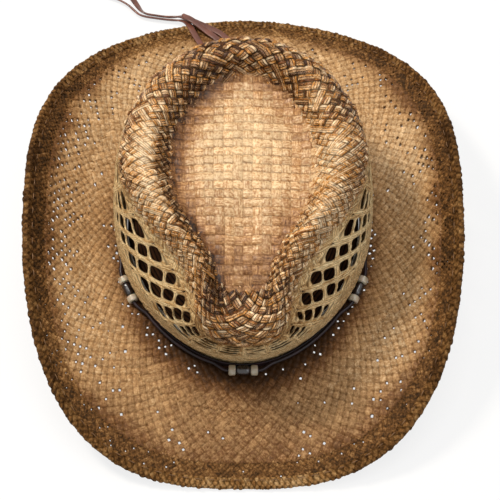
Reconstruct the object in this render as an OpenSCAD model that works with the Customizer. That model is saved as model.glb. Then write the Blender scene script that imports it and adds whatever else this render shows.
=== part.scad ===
// Woven straw western hat, standing on the front and back of its brim.
// Front is -Y, back is +Y, up is +Z.  The origin is on the surface that the
// hat stands on, under the middle of the brim.  All sizes are in millimetres.

/* [Head opening] */
// Half width of the crown's foot, to the middle of the straw
foot_half_w = 81.5; // [77:0.5:88]
// How far the crown's foot reaches forward of the brim's middle
foot_front = 105.5; // [99:0.5:111]
// How far the crown's foot reaches back
foot_back = 103; // [98:1:108]
// Height of the crown's foot at the sides
foot_side_z = 26.5; // [24:0.5:32]
// Height of the crown's foot at front and back
foot_end_z = 14.5; // [12:0.5:16]

/* [Crown] */
// Height of the ridge at the back
crest_back_z = 124; // [110:1:132]
// Height of the ridge at the sides
crest_side_z = 119; // [108:1:128]
// Height of the ridge at the pinched front
crest_front_z = 86; // [80:1:96]
// Height of the middle of the dented top
dent_mid_z = 105; // [100:1:108]
// How far the front is pinched in, as a share of the half width
pinch = 0.45; // [0:0.05:0.5]
// Thickness of the woven straw
straw_t = 1.8; // [1.4:0.1:2]

/* [Vents] */
// Columns of vents round the crown
vent_columns = 34; // [24:1:36]
// Share of a column that is open
vent_open = 0.58; // [0.4:0.02:0.7]
// How far the columns lean towards the front, in degrees
vent_lean = 20; // [0:1:22]

/* [Brim] */
// Half width of the brim at its rolled edge
edge_half_w = 145; // [138:1:152]
// Half length of the brim
edge_half_l = 184; // [178:1:192]
// Height of the rolled sides
edge_side_z = 68; // [50:1:78]
// Width of the folded hem
hem_w = 8; // [6:0.5:10]
// Diameter of the wire in the hem
wire_d = 1.6; // [1:0.1:1.8]

/* [Hatband and beads] */
// Height of the flat lace
flat_lace_h = 4.6; // [3:0.2:5]
// Thickness of the flat lace and of the tails
lace_t = 1.5; // [1.2:0.1:1.8]
// Diameter of the round lace that carries the beads
bead_lace_d = 2.4; // [1.6:0.1:2.6]
// Diameter of the pale bone beads
bone_d = 7; // [6.5:0.5:8]
// Length of a bone bead
bone_l = 4.8; // [4:0.2:6]
// Diameter of the dark barrel beads
barrel_d = 6.5; // [6:0.5:7.5]
// Length of a barrel bead
barrel_l = 9; // [8:0.5:12]
// Bore of every bead
bead_bore = 3.6; // [3.4:0.1:4]

/* [Inside] */
// Height of the sweatband
sweat_h = 32; // [24:1:36]
// How far the sweatband's top leans inwards
sweat_lean = 16; // [0:1:20]
// Thickness of the sweatband
sweat_t = 1.4; // [1:0.1:1.6]
// Height of the tape behind the sweatband
tape_h = 14; // [10:1:16]
// Stitches round the sweatband, and half as many more round the hem
stitches = 72; // [48:2:96]

/* [Hidden] */

// A ring of the hat is [half width, front reach, back reach, front corner
// power, back corner power, pinch, front height, side height, back height].
foot = [foot_half_w, foot_front, foot_back, 1.95, 2.2, 0, foot_end_z, foot_side_z, foot_end_z];
seat_h = 6.5;
seat = [foot_half_w, foot_front, foot_back, 1.95, 2.2, 0,
    foot_end_z + seat_h, foot_side_z + seat_h, foot_end_z + seat_h];
collar = [foot_half_w + 4.5, foot_front + 2.5, foot_back - 1, 1.95, 2.2, 0,
    foot_end_z + 15, foot_side_z + 16, foot_end_z + 16];
belly = [foot_half_w + 4, foot_front + 6, foot_back - 4.5, 2.1, 2.2, pinch / 4, 52, 71, 66];
shoulder = [foot_half_w - 0.5, foot_front + 12.5, foot_back - 15, 2, 2.1, pinch,
    crest_front_z - 8, crest_side_z - 13, crest_back_z - 15];
crest = [foot_half_w - 18, foot_front + 5.5, foot_back - 34, 2, 2.1, pinch,
    crest_front_z, crest_side_z, crest_back_z];
dent = [foot_half_w - 36, foot_front - 8.5, foot_back - 46, 2, 2.1, pinch,
    crest_front_z - 1, crest_side_z - 16, crest_back_z - 16];
dent_floor = [foot_half_w - 58, foot_front - 36.5, foot_back - 74, 2, 2.1, pinch / 1.5,
    dent_mid_z - 11, dent_mid_z - 1, dent_mid_z + 1];
dent_mid = [0.001, 11, -11, 2, 2, 0, dent_mid_z, dent_mid_z, dent_mid_z];
CROWN_RINGS = [foot, seat, collar, belly, shoulder, crest, dent, dent_floor, dent_mid];

// The rim of the brim, at the middle of its thickness
edge_end_z = 1.7;
edge = [edge_half_w - 2.5, edge_half_l + 0.5, edge_half_l - 2.5, 3, 2.12, 0,
    edge_end_z, edge_side_z, edge_end_z];

pinch_at = 46;
pinch_spread = 30;
foot_dip_power = 2;
edge_dip_power = 2.6;

// Height along a ring: the front and back heights fade into the side height
function ring_z(r, a, power) =
    r[7] + (cos(a) > 0 ? r[6] - r[7] : r[8] - r[7]) * (1 - pow(abs(sin(a)), power));

// Point of a ring at angle a, counted from the front towards +X
function ring_pt(r, a, power = foot_dip_power) =
    let (s = sin(a), c = cos(a),
        n = r[3] + (r[4] - r[3]) * (1 - c) / 2,
        g = pow(pow(abs(s), n) + pow(abs(c), n), -1 / n),
        turn = abs(a > 180 ? a - 360 : a),
        narrow = 1 - r[5] * exp(-pow((turn - pinch_at) / pinch_spread, 2)))
    [r[0] * s * g * narrow, (r[2] - r[1]) / 2 - (r[1] + r[2]) / 2 * c * g, ring_z(r, a, power)];

// A ring moved outwards by d and up by h
function grown(r, d, h = 0) =
    [r[0] + d, r[1] + d, r[2] + d, r[3], r[4], r[5], r[6] + h, r[7] + h, r[8] + h];

function blend(a, b, f) = a + (b - a) * f;
function ease(x) = let (t = min(1, max(0, x))) t * t * (3 - 2 * t);
function unit(v) = v / norm(v);

// Smooth curve through four points, at f between the second and the third
function through(p0, p1, p2, p3, f) =
    0.5 * (2 * p1 + (p2 - p0) * f + (2 * p0 - 5 * p1 + 4 * p2 - p3) * f * f
        + (3 * p1 - p0 - 3 * p2 + p3) * f * f * f);

// Turn of the vent columns at level t, strongest beside the pinched front
function lean_at(a, t) =
    let (up = ease((t - 2.4) / 1.6), low = ease((t - 1.2) / 1.5))
    vent_lean * abs(sin(a)) * (0.45 * up * sin(a) + (up - 0.75 * low) * sin(2 * a));

// How many levels the vents lie lower at angle a, only near the front
function dip_at(a, t) = vent_dip * pow(max(0, cos(a)), 6)
    * ease((t - 1.9) / 0.9) * (1 - ease((t - 3.7) / 0.8));

// Middle of the crown's straw: a from the front, level counts the crown's rings
function crown_mid(a, level) =
    let (last = len(CROWN_RINGS) - 1,
        t = level - dip_at(a, level),
        i = min(last - 1, floor(t)),
        b = a - lean_at(a, level),
        p = [for (k = [i - 1 : i + 2]) ring_pt(CROWN_RINGS[min(last, max(0, k))], b)])
    through(p[0], p[1], p[2], p[3], t - i);

// Middle of the brim's straw: f runs from the head opening to the rim
function brim_mid(a, f) =
    let (p = ring_pt(grown(foot, -straw_t / 2), a), q = ring_pt(edge, a, edge_dip_power),
        rise = pow(max(0, f), 2.2 - 0.8 * abs(cos(a))))
    [blend(p.x, q.x, f), blend(p.y, q.y, f), blend(p.z, q.z, rise)];

function crown_normal(a, t) =
    unit(cross(crown_mid(a + 1, t) - crown_mid(a - 1, t),
        crown_mid(a, min(7.9, t + 0.05)) - crown_mid(a, max(0, t - 0.05))));
function brim_normal(a, f) =
    unit(cross(brim_mid(a, f + 0.02) - brim_mid(a, f), brim_mid(a + 1, f) - brim_mid(a - 1, f)));

// Round angles: an open stretch and a solid stretch for each column of vents
turns = [for (i = [0 : vent_columns - 1]) each [for (side = [-1, 1])
    (i + 0.5 + side * vent_open / 2) * 360 / vent_columns]];
vent_rows = 4;
vent_from = 2.89;
vent_pitch = 0.21;
vent_gap = 0.155;
vent_dip = 0.4;
vent_levels = [for (k = [0 : vent_rows - 1]) each
    [vent_from + k * vent_pitch, vent_from + k * vent_pitch + vent_gap]];
levels = concat([0, 1, 1.5, 2, 2.45], vent_levels,
    [4, 4.3, 4.65, 5, 5.3, 5.65, 6, 6.5, 7, 7.6]);
first_vent_level = 5;
last_vent_level = first_vent_level + 2 * vent_rows - 1;

// Crown level of the grid's row j and column i: the vents' sides slant, so that a
// vent lies one row lower on the side towards the front
function level_at(j, i) = levels[j] + (j < first_vent_level || j > last_vent_level ? 0
    : vent_pitch * vent_open / 2 * (i % 2 == 0 ? -1 : 1) * max(-1, min(1, 2 * sin(turns[i]))));

// Two triangles for the four corners of a cell
function cell(a, b, c, d) = [[a, b, c], [a, c, d]];

// Closed wall between an outer and an inner grid of points.  Rows run from
// one rim to the other; open(j, i) says which cells are left out as vents.
module woven_wall(outer, inner, vents = false, pole_out = undef, pole_in = undef) {
    rows = len(outer);
    n = len(outer[0]);
    pole = !is_undef(pole_out);
    half = rows * n;
    pts = concat([for (r = outer) each r], [for (r = inner) each r],
        pole ? [pole_out, pole_in] : []);
    is_vent = function (j, i) vents && j >= first_vent_level && j <= last_vent_level
        && (j - first_vent_level) % 2 == 0 && i % 2 == 0;
    skin = [for (j = [0 : rows - 2], i = [0 : n - 1]) if (!is_vent(j, i))
        let (k = (i + 1) % n, a = j * n + i, b = j * n + k)
        each concat(cell(a, a + n, b + n, b),
            cell(half + a, half + b, half + b + n, half + a + n))];
    jambs = [for (j = [0 : rows - 2], i = [0 : n - 1]) if (is_vent(j, i))
        let (a = j * n + i, b = j * n + (i + 1) % n)
        each concat(cell(b, a, half + a, half + b),
            cell(a, a + n, half + a + n, half + a),
            cell(b + n, b, half + b, half + b + n),
            cell(a + n, b + n, half + b + n, half + a + n))];
    low_rim = [for (i = [0 : n - 1]) let (k = (i + 1) % n) each cell(i, k, half + k, half + i)];
    top = (rows - 1) * n;
    high_rim = [for (i = [0 : n - 1]) let (k = (i + 1) % n)
        each pole ? [[top + k, top + i, 2 * half], [half + top + i, half + top + k, 2 * half + 1]]
            : cell(top + k, top + i, half + top + i, half + top + k)];
    polyhedron(pts, concat(skin, jambs, low_rim, high_rim), 4);
}

// Closed loop: each section is a list of points, the last joins the first
module loop_of(sections) {
    n = len(sections);
    m = len(sections[0]);
    faces = [for (i = [0 : n - 1], j = [0 : m - 1])
        let (a = i * m, b = ((i + 1) % n) * m, k = (j + 1) % m)
        each cell(a + j, b + j, b + k, a + k)];
    polyhedron([for (s = sections) each s], faces, 4);
}

// Open tube with flat ends
module run_of(sections) {
    n = len(sections);
    m = len(sections[0]);
    sides = [for (i = [0 : n - 2], j = [0 : m - 1])
        let (a = i * m, b = a + m, k = (j + 1) % m)
        each cell(a + j, a + k, b + k, b + j)];
    ends = [for (j = [1 : m - 2]) each
        [[0, j + 1, j], [(n - 1) * m, (n - 1) * m + j, (n - 1) * m + j + 1]]];
    polyhedron([for (s = sections) each s], concat(sides, ends), 4);
}

// Eight points of a rounded oblong, w along u and h along v, about p
function oblong(p, u, v, w, h) =
    [for (q = [[1, 0.5], [0.6, 1], [-0.6, 1], [-1, 0.5], [-1, -0.5], [-0.6, -1], [0.6, -1],
        [1, -0.5]]) p + u * q.x * w / 2 + v * q.y * h / 2];

module crown() {
    faces = [for (side = [1, -1]) [for (j = [0 : len(levels) - 1]) [for (i = [0 : len(turns) - 1])
        let (a = turns[i], t = level_at(j, i))
        t == 0 ? ring_pt(grown(foot, side * straw_t / 2, straw_t / 2), a)
            : crown_mid(a, t) + crown_normal(a, t) * side * straw_t / 2]]];
    color("tan") woven_wall(faces[0], faces[1],
        true,
        [0, dent_mid[2], dent_mid_z + straw_t / 2],
        [0, dent_mid[2], dent_mid_z - straw_t / 2]);
}

brim_levels = [0, 0.03, 0.14, 0.28, 0.44, 0.6, 0.76, 0.9, 0.985];

module brim() {
    color("peru") woven_wall(
        [for (f = brim_levels) [for (a = turns)
            brim_mid(a, f) - brim_normal(a, f) * straw_t / 2]],
        [for (f = brim_levels) [for (a = turns)
            brim_mid(a, f) + brim_normal(a, f) * straw_t / 2]]);
}

// Local directions at the rim: outwards along the brim, and up from it
function rim_out(a) = unit(brim_mid(a, 1) - brim_mid(a, 0.96));
function rim_up(a) = brim_normal(a, 1);

// Section of the folded hem: [outwards, up], a hook round the straw's edge
hem_wall = 1.1;
hem_in = straw_t / 2 + 0.2;
hem_half = hem_in + hem_wall;
hem_tip = 2.5;
hem_section = [[hem_tip - hem_w, hem_half], [hem_tip - 2.5, hem_half], [hem_tip - 0.7, hem_half - 0.8],
    [hem_tip, 0], [hem_tip - 0.7, 0.8 - hem_half], [hem_tip - 2.5, -hem_half],
    [hem_tip - hem_w, -hem_half], [hem_tip - hem_w, -hem_in], [hem_tip - 2.2, -hem_in],
    [hem_tip - 1.2, 0], [hem_tip - 2.2, hem_in], [hem_tip - hem_w, hem_in]];

// The hem is pressed flat where it bears on the surface below
function on_ground(p, h = 0) = [p.x, p.y, max(h, p.z)];

module brim_edge_hem() {
    color("saddlebrown") loop_of([for (a = turns)
        [for (q = hem_section) on_ground(brim_mid(a, 1) + rim_out(a) * q.x + rim_up(a) * q.y)]]);
}

module brim_edge_wire() {
    color("dimgray") loop_of([for (a = turns)
        [for (k = [0 : 5]) brim_mid(a, 1) + rim_out(a) * wire_d / 2 * cos(-60 * k)
            + rim_up(a) * wire_d / 2 * sin(-60 * k)]]);
}

// A straight stitch at p, along d, lying on a surface whose normal is up
module stitch(p, d, l) {
    flat = norm([d.x, d.y]);
    translate(p) rotate([0, -atan2(d.z, flat), atan2(d.y, d.x)])
        cube([l, 0.5, 0.5], center = true);
}

hem_stitches = stitches * 3 / 2;
hem_stitch_at = 5.6;

module hem_stitching() {
    color("tan") for (i = [0 : hem_stitches - 1])
        let (a = (i + 0.5) * 360 / hem_stitches, d = brim_mid(a + 0.5, 1) - brim_mid(a - 0.5, 1),
            rise = hem_half + 0.3)
        stitch(on_ground(brim_mid(a, 1) + rim_out(a) * (hem_tip - hem_stitch_at)
            + rim_up(a) * rise, 0.4), d, 4);
}

// Inside of the crown's foot, d in from the straw's middle and h up
function inside(a, d, h) = ring_pt(grown(foot, -d, h), a);
tape_out = 1.5;
tape_t = 1;
tape_lean = 2;
sweat_out = 2.9;
tape_turns = [for (i = [0 : 71]) i * 5];

module sweatband() {
    color("saddlebrown") loop_of([for (a = tape_turns)
        [for (q = [[0, -1], [0.15, sweat_h / 2], [1, sweat_h]])
            inside(a, sweat_out + sweat_t + q.x * sweat_lean, q.y),
        for (q = [[1, sweat_h], [0.15, sweat_h / 2], [0, -1]])
            inside(a, sweat_out + q.x * sweat_lean, q.y)]]);
}

module sweatband_tape() {
    color("ivory") loop_of([for (a = tape_turns)
        [for (q = [[0, 1], [0.1, tape_h / 2], [0.3, tape_h]])
            inside(a, tape_out + tape_t + q.x * tape_lean, q.y),
        for (q = [[0.3, tape_h], [0.1, tape_h / 2], [0, 1]])
            inside(a, tape_out + q.x * tape_lean, q.y)]]);
}

module sweatband_stitching() {
    color("sienna") for (i = [0 : stitches - 1])
        let (a = (i + 0.5) * 360 / stitches, d = inside(a + 1, 4, 0) - inside(a - 1, 4, 0))
        stitch(inside(a, sweat_out + sweat_t + 0.4, 3), d, 4.5);
}

// Three beads in a row at each of these angles, on a straight stretch of lace
trio_turns = [0, 60, 300];
bead_gap = 0.4;
trio_half = barrel_l / 2 + bead_gap + bone_l + 1;
lace_up = straw_t / 2 + bone_d / 2 + 1.3;
flat_lace_out = straw_t / 2 + 0.3 + lace_t;
lace_hug = flat_lace_out + 0.35 + bead_lace_d / 2;
// The straight stretch cuts the corner of the crown's curve by this much
chord_cut = 0.7;
// Degrees of turn over which the lace comes back to the crown
lace_ease = 7;
bead_lace_out = flat_lace_out + 0.35 + bone_d / 2 + chord_cut;

function band_ring(d) = grown(foot, d, lace_up);
// Degrees of turn that half a trio takes up
function trio_reach(a) = trio_half * 2 / norm(ring_pt(band_ring(bead_lace_out), a + 1)
    - ring_pt(band_ring(bead_lace_out), a - 1));
function trio_end(a, side) = ring_pt(band_ring(bead_lace_out), a + side * trio_reach(a));
function trio_mid(a) = (trio_end(a, 1) + trio_end(a, -1)) / 2;
function trio_dir(a) = unit(trio_end(a, 1) - trio_end(a, -1));
function turn_from(a, b) = let (d = (a - b) % 360) d > 180 ? d - 360 : (d < -180 ? d + 360 : d);

// Middle of the bead lace: straight through the beads, close to the crown between
function bead_lace_pt(a) =
    let (near = [for (t = trio_turns) if (abs(turn_from(a, t)) <= trio_reach(t) + lace_ease) t])
    len(near) == 0 ? ring_pt(band_ring(lace_hug), a)
        : let (t = near[0], off = turn_from(a, t), reach = trio_reach(t))
        abs(off) <= reach ? blend(trio_end(t, -1), trio_end(t, 1), (off / reach + 1) / 2)
            : ring_pt(band_ring(blend(bead_lace_out, lace_hug, ease((abs(off) - reach) / lace_ease))), a);

lace_turns = [for (i = [0 : 119]) i * 3];

module hatband_flat_lace() {
    color("#3a2520") loop_of([for (a = lace_turns)
        let (d = unit([ring_pt(foot, a + 1).y - ring_pt(foot, a - 1).y,
            ring_pt(foot, a - 1).x - ring_pt(foot, a + 1).x, 0]))
        oblong(ring_pt(grown(foot, flat_lace_out - lace_t / 2, 1.4 + flat_lace_h / 2), a),
            -d, [0, 0, 1], lace_t, flat_lace_h)]);
}

module hatband_bead_lace() {
    color("#241a1c") loop_of([for (a = lace_turns)
        let (along = unit(bead_lace_pt(a + 1) - bead_lace_pt(a - 1)),
            side = unit(cross(along, [0, 0, 1])), up = cross(side, along))
        [for (k = [0 : 7]) bead_lace_pt(a)
            + (side * cos(45 * k) - up * sin(45 * k)) * bead_lace_d / 2]]);
}

// Bead round the x axis, its middle at the origin
module bead(l, d, tone) {
    bulge = d / 2;
    round_end = 0.7;
    color(tone) rotate([0, 90, 0]) rotate_extrude($fn = 40) polygon([
        [bead_bore / 2, -l / 2], [bulge - 2 * round_end, -l / 2], [bulge - round_end / 2, round_end - l / 2],
        [bulge, 2 * round_end - l / 2], [bulge, l / 2 - 2 * round_end],
        [bulge - round_end / 2, l / 2 - round_end], [bulge - 2 * round_end, l / 2], [bead_bore / 2, l / 2]]);
}

// Place a bead on the trio at angle a, along the lace by s
module on_trio(a, s) {
    d = trio_dir(a);
    translate(trio_mid(a) + d * s)
        rotate([0, -atan2(d.z, norm([d.x, d.y])), atan2(d.y, d.x)]) children();
}

bone_at = barrel_l / 2 + bead_gap + bone_l / 2;
module bone_bead(a, side) { on_trio(a, side * bone_at) bead(bone_l, bone_d, "gainsboro"); }
module barrel_bead(a) { on_trio(a, 0) bead(barrel_l, barrel_d, "#1c1718"); }

// Overhand knot that closes both laces at the back
knot = ring_pt(grown(foot, 6.4, 6.2), 176);
module back_knot() {
    color("#3a2520") translate(knot) {
        rotate([0, 90, 8]) rotate_extrude($fn = 36) translate([2.4, 0]) circle(r = 2.1, $fn = 24);
        translate([4.4, 0.5, 0.2]) rotate([20, 70, 0]) rotate_extrude($fn = 36)
            translate([2.2, 0]) circle(r = 1.8, $fn = 24);
        translate([-4.4, 0.5, 0]) rotate([-20, 110, 0]) rotate_extrude($fn = 36)
            translate([2.2, 0]) circle(r = 1.8, $fn = 24);
    }
}

// Points of each tail: out of the knot, over the brim and its hem, and along
// the surface behind.  The fourth value turns the lace about its own line.
long_tail = [[-9, 111, 17.5, 0], [-10.5, 118, 15.9, 0], [-15, 127, 14.9, 0], [-21, 137, 13.5, 0],
    [-27, 148, 11.7, 0], [-32, 158, 10.1, 0], [-36.5, 167.5, 9.2, 0], [-39.5, 174.5, 8.5, 0],
    [-42.5, 180, 6.6, -10], [-46, 183.2, 4.2, -35], [-51, 184.6, 2.7, -60], [-58, 185.4, 2.5, -60],
    [-66, 186.7, 2.5, -60], [-73, 188, 2.5, -60], [-78, 190, 2.5, -60], [-82, 193.8, 2.5, -60],
    [-86, 198.2, 2.5, -60], [-91, 202, 2.5, -60], [-98, 206, 2.3, -50], [-107, 210, 1.6, -25],
    [-118, 213, 1, 0], [-130, 215, 1, 0]];
middle_tail = [[-3.5, 112, 17.5, 0], [-3, 120, 15.4, 0], [-4, 130, 14.1, 0], [-6, 141, 12.4, 0],
    [-8, 152, 10.5, 0], [-11, 161, 8.9, 0], [-17, 168.5, 7.9, 0], [-25, 173.5, 7.9, 0],
    [-33, 176.8, 9.2, 0], [-38.5, 179.2, 9.9, 0], [-43, 182.8, 8.2, -10],
    [-47, 185.6, 5.9, -35], [-51.5, 186.6, 4.1, -60], [-58, 187.1, 3.6, -60],
    [-66, 188.4, 3.6, -60], [-72.5, 189.9, 3.5, -60], [-76.8, 193.2, 3, -50],
    [-80, 198.6, 2.3, -30], [-83.5, 205, 1.6, -15], [-88, 212.5, 1, 0], [-95, 219.5, 1, 0],
    [-104, 225, 1, 0]];
short_tail = [[-6, 112, 20.5, 0], [-7, 120, 17.9, 0], [-9.5, 130, 14.6, 0], [-11.5, 141, 12.6, 0],
    [-14.5, 152, 11.1, 0], [-19.5, 162, 9.8, 0], [-27, 169, 9.7, 0], [-33.5, 173.8, 11.6, 0],
    [-38.5, 177.7, 12.5, 0], [-42.5, 181.6, 10.9, 0], [-45, 185, 9, 0]];

// Flat lace along the points: level and lying flat, unless it is turned
module tail(route) {
    last = len(route) - 1;
    place = [for (q = route) [q[0], q[1], q[2]]];
    color("#4a2a20") run_of([for (i = [0 : last])
        let (along = unit(place[min(last, i + 1)] - place[max(0, i - 1)]),
            level = unit(cross(along, [0, 0, 1])), rise = cross(level, along),
            turn = route[i][3],
            side = level * cos(turn) + rise * sin(turn), up = cross(side, along))
        oblong(place[i], side, up, flat_lace_h - 0.2, lace_t)]);
}

module bone_bead_front_left() { bone_bead(0, -1); }
module barrel_bead_front() { barrel_bead(0); }
module bone_bead_front_right() { bone_bead(0, 1); }
module bone_bead_left_rear() { bone_bead(300, -1); }
module barrel_bead_left() { barrel_bead(300); }
module bone_bead_left_fore() { bone_bead(300, 1); }
module bone_bead_right_fore() { bone_bead(60, -1); }
module barrel_bead_right() { barrel_bead(60); }
module bone_bead_right_rear() { bone_bead(60, 1); }
module lace_tail_long() { tail(long_tail); }
module lace_tail_middle() { tail(middle_tail); }
module lace_tail_short() { tail(short_tail); }

crown();
brim();
brim_edge_hem();
brim_edge_wire();
hem_stitching();
sweatband();
sweatband_tape();
sweatband_stitching();
hatband_flat_lace();
hatband_bead_lace();
back_knot();
bone_bead_front_left();
barrel_bead_front();
bone_bead_front_right();
bone_bead_left_rear();
barrel_bead_left();
bone_bead_left_fore();
bone_bead_right_fore();
barrel_bead_right();
bone_bead_right_rear();
lace_tail_long();
lace_tail_middle();
lace_tail_short();
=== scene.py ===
"""Woven straw western hat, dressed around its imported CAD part.

Every straw surface is one height field over a lattice that follows the strands, so each
crossing of two strands is a small domed tile with real steps and pits between the tiles.
The front of the hat is -Y and up is +Z. Lengths are metres in the finished meshes and
millimetres in the formulas. Angles are degrees from the front towards +X.
"""

import logging  # noqa: E402
import math  # noqa: E402
from dataclasses import dataclass, replace  # noqa: E402
from enum import Enum  # noqa: E402
from typing import Callable, Sequence  # noqa: E402

import bpy  # noqa: E402
import numpy as np  # noqa: E402
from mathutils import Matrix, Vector  # noqa: E402


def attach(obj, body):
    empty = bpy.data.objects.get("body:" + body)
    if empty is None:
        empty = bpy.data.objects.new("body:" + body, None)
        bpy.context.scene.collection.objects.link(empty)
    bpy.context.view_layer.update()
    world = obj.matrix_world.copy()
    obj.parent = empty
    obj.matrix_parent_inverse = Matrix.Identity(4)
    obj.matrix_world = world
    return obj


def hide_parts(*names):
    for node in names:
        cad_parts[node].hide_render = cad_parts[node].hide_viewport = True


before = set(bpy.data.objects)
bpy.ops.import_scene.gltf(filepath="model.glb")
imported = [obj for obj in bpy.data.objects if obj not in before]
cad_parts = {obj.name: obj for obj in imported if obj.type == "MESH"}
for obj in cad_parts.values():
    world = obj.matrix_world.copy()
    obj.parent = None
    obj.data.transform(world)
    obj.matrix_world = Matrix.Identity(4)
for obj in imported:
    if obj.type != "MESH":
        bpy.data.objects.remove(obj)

LOG = logging.getLogger("straw_hat")
Array = np.ndarray
Object, Material = bpy.types.Object, bpy.types.Material
Tree, Node, Socket = bpy.types.NodeTree, bpy.types.Node, bpy.types.NodeSocket
Surface = Callable[[Array, Array], Array]
ToastShadeMap = Callable[[Array, Array, Array], Array]
MM = 0.001
BODY = "hat"
UP = np.array([0.0, 0.0, 1.0])
# weight of the first key, growth of the weight from key to key, and gain of the sine
HASH_WEIGHT, HASH_STEP, HASH_GAIN = 12.9898, 65.2331, 43758.5453


# ---- numbers


def ease(x: Array) -> Array:
    """Smooth step: 3x^2 - 2x^3 with x held between 0 and 1."""
    x = np.clip(x, 0.0, 1.0)
    return x * x * (3.0 - 2.0 * x)


def bell(x: Array, width: float) -> Array:
    """A bell curve of height 1: exp(-(x / width)^2)."""
    return np.exp(-((x / width) ** 2))


def unit(v: Array) -> Array:
    """Vectors along the last axis, scaled to length 1."""
    return v / np.maximum(np.linalg.norm(v, axis=-1, keepdims=True), 1e-12)


def from_front(a: Array) -> Array:
    """Angles brought into the range from -180 to 180 around the front."""
    return (a + 180.0) % 360.0 - 180.0


def hashed(*keys: Array) -> Array:
    """A repeatable random share from 0 to 1 for each set of whole-number keys.

    Formula: the fractional part of a large multiple of a sine of the weighted keys.

    Args:
        keys: arrays of whole numbers that broadcast together.

    Returns:
        One share for each set of keys.
    """
    total = np.zeros(np.broadcast(*keys).shape)
    for n, key in enumerate(keys):
        total = total + np.asarray(key, float) * (HASH_WEIGHT + HASH_STEP * n)
    return np.modf(np.abs(np.sin(total) * HASH_GAIN))[0]


def waves(x: Array, y: Array, seed: int) -> Array:
    """Slow, smooth unevenness: a sum of five sine waves of random direction and phase.

    Args:
        x: first coordinate, in radians of an average wave.
        y: second coordinate.
        seed: start of the random draws.

    Returns:
        Values from about -1 to 1.
    """
    rng = np.random.default_rng(seed)
    total = np.zeros(np.broadcast(x, y).shape)
    for _ in range(5):
        kx, ky = rng.normal(0, 1, 2)
        total = total + np.sin(kx * x + ky * y + rng.uniform(0, 2 * np.pi)) / 2.5
    return total


def through(p0: Array, p1: Array, p2: Array, p3: Array, f: Array) -> Array:
    """Catmull-Rom curve through four points.

    Args:
        p0, p1, p2, p3: the points.
        f: share of the way from the second to the third.

    Returns:
        Points of the curve.
    """
    return 0.5 * (
        2 * p1
        + (p2 - p0) * f
        + (2 * p0 - 5 * p1 + 4 * p2 - p3) * f * f
        + (3 * p1 - p0 - 3 * p2 + p3) * f**3
    )


def smooth_path(points: Sequence[Sequence[float]], step: float) -> Array:
    """Catmull-Rom curve through route points, laid out again at equal steps.

    Args:
        points: the route's points, in millimetres, and any further values at each.
        step: distance between points of the result, in millimetres.

    Returns:
        Points of the smooth path and the further values, one row each.
    """
    p = np.asarray(points, float)
    padded = np.vstack([2 * p[0] - p[1], p, 2 * p[-1] - p[-2]])
    f = np.linspace(0, 1, 24, endpoint=False)[:, None]
    runs = [through(*padded[i : i + 4], f) for i in range(len(p) - 1)]
    dense = np.vstack([*runs, p[-1:]])
    steps = np.linalg.norm(np.diff(dense[:, :3], axis=0), axis=1)
    along = np.concatenate([[0], np.cumsum(steps)])
    even = np.linspace(0, along[-1], max(8, int(round(along[-1] / step)) + 1))
    return np.stack([np.interp(even, along, column) for column in dense.T], axis=1)


# ---- the hat's form


@dataclass(frozen=True)
class Ring:
    """One closed level line of the hat, in millimetres.

    Seen from above it is an oval whose corner power differs at front and back, and
    whose front can be pinched in. Its height fades from front and back to the sides.
    """

    half_w: float
    front: float
    back: float
    corner_front: float
    corner_back: float
    pinch: float
    z_front: float
    z_side: float
    z_back: float

    PINCH_AT = 46.0
    PINCH_SPREAD = 30.0

    def grown(self, out: float, up: float = 0.0) -> "Ring":
        """The ring moved.

        Args:
            out: how far outwards, in millimetres.
            up: how far up.

        Returns:
            The new ring.
        """
        return replace(
            self,
            half_w=self.half_w + out,
            front=self.front + out,
            back=self.back + out,
            z_front=self.z_front + up,
            z_side=self.z_side + up,
            z_back=self.z_back + up,
        )

    def at(self, a: Array, dip_power: float = 2.0) -> Array:
        """Points of the ring.

        Formula: x = half width * sin a, y = minus the reach * cos a, both times the
        radius of a superellipse, x again times one minus a bell curve for the pinch,
        and z = side height + (end height - side height) * (1 - |sin a| ^ power).

        Args:
            a: angles.
            dip_power: power with which the height goes from the sides to the ends.

        Returns:
            One point for each angle.
        """
        a = from_front(np.asarray(a, float))
        s, c = np.sin(np.radians(a)), np.cos(np.radians(a))
        n = self.corner_front + (self.corner_back - self.corner_front) * (1 - c) / 2
        g = (np.abs(s) ** n + np.abs(c) ** n) ** (-1 / n)
        pinched = 1 - self.pinch * bell(np.abs(a) - self.PINCH_AT, self.PINCH_SPREAD)
        end = np.where(c > 0, self.z_front, self.z_back)
        return np.stack(
            [
                self.half_w * s * g * pinched,
                (self.back - self.front) / 2 - (self.front + self.back) / 2 * c * g,
                self.z_side + (end - self.z_side) * (1 - np.abs(s) ** dip_power),
            ],
            axis=-1,
        )


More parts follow.
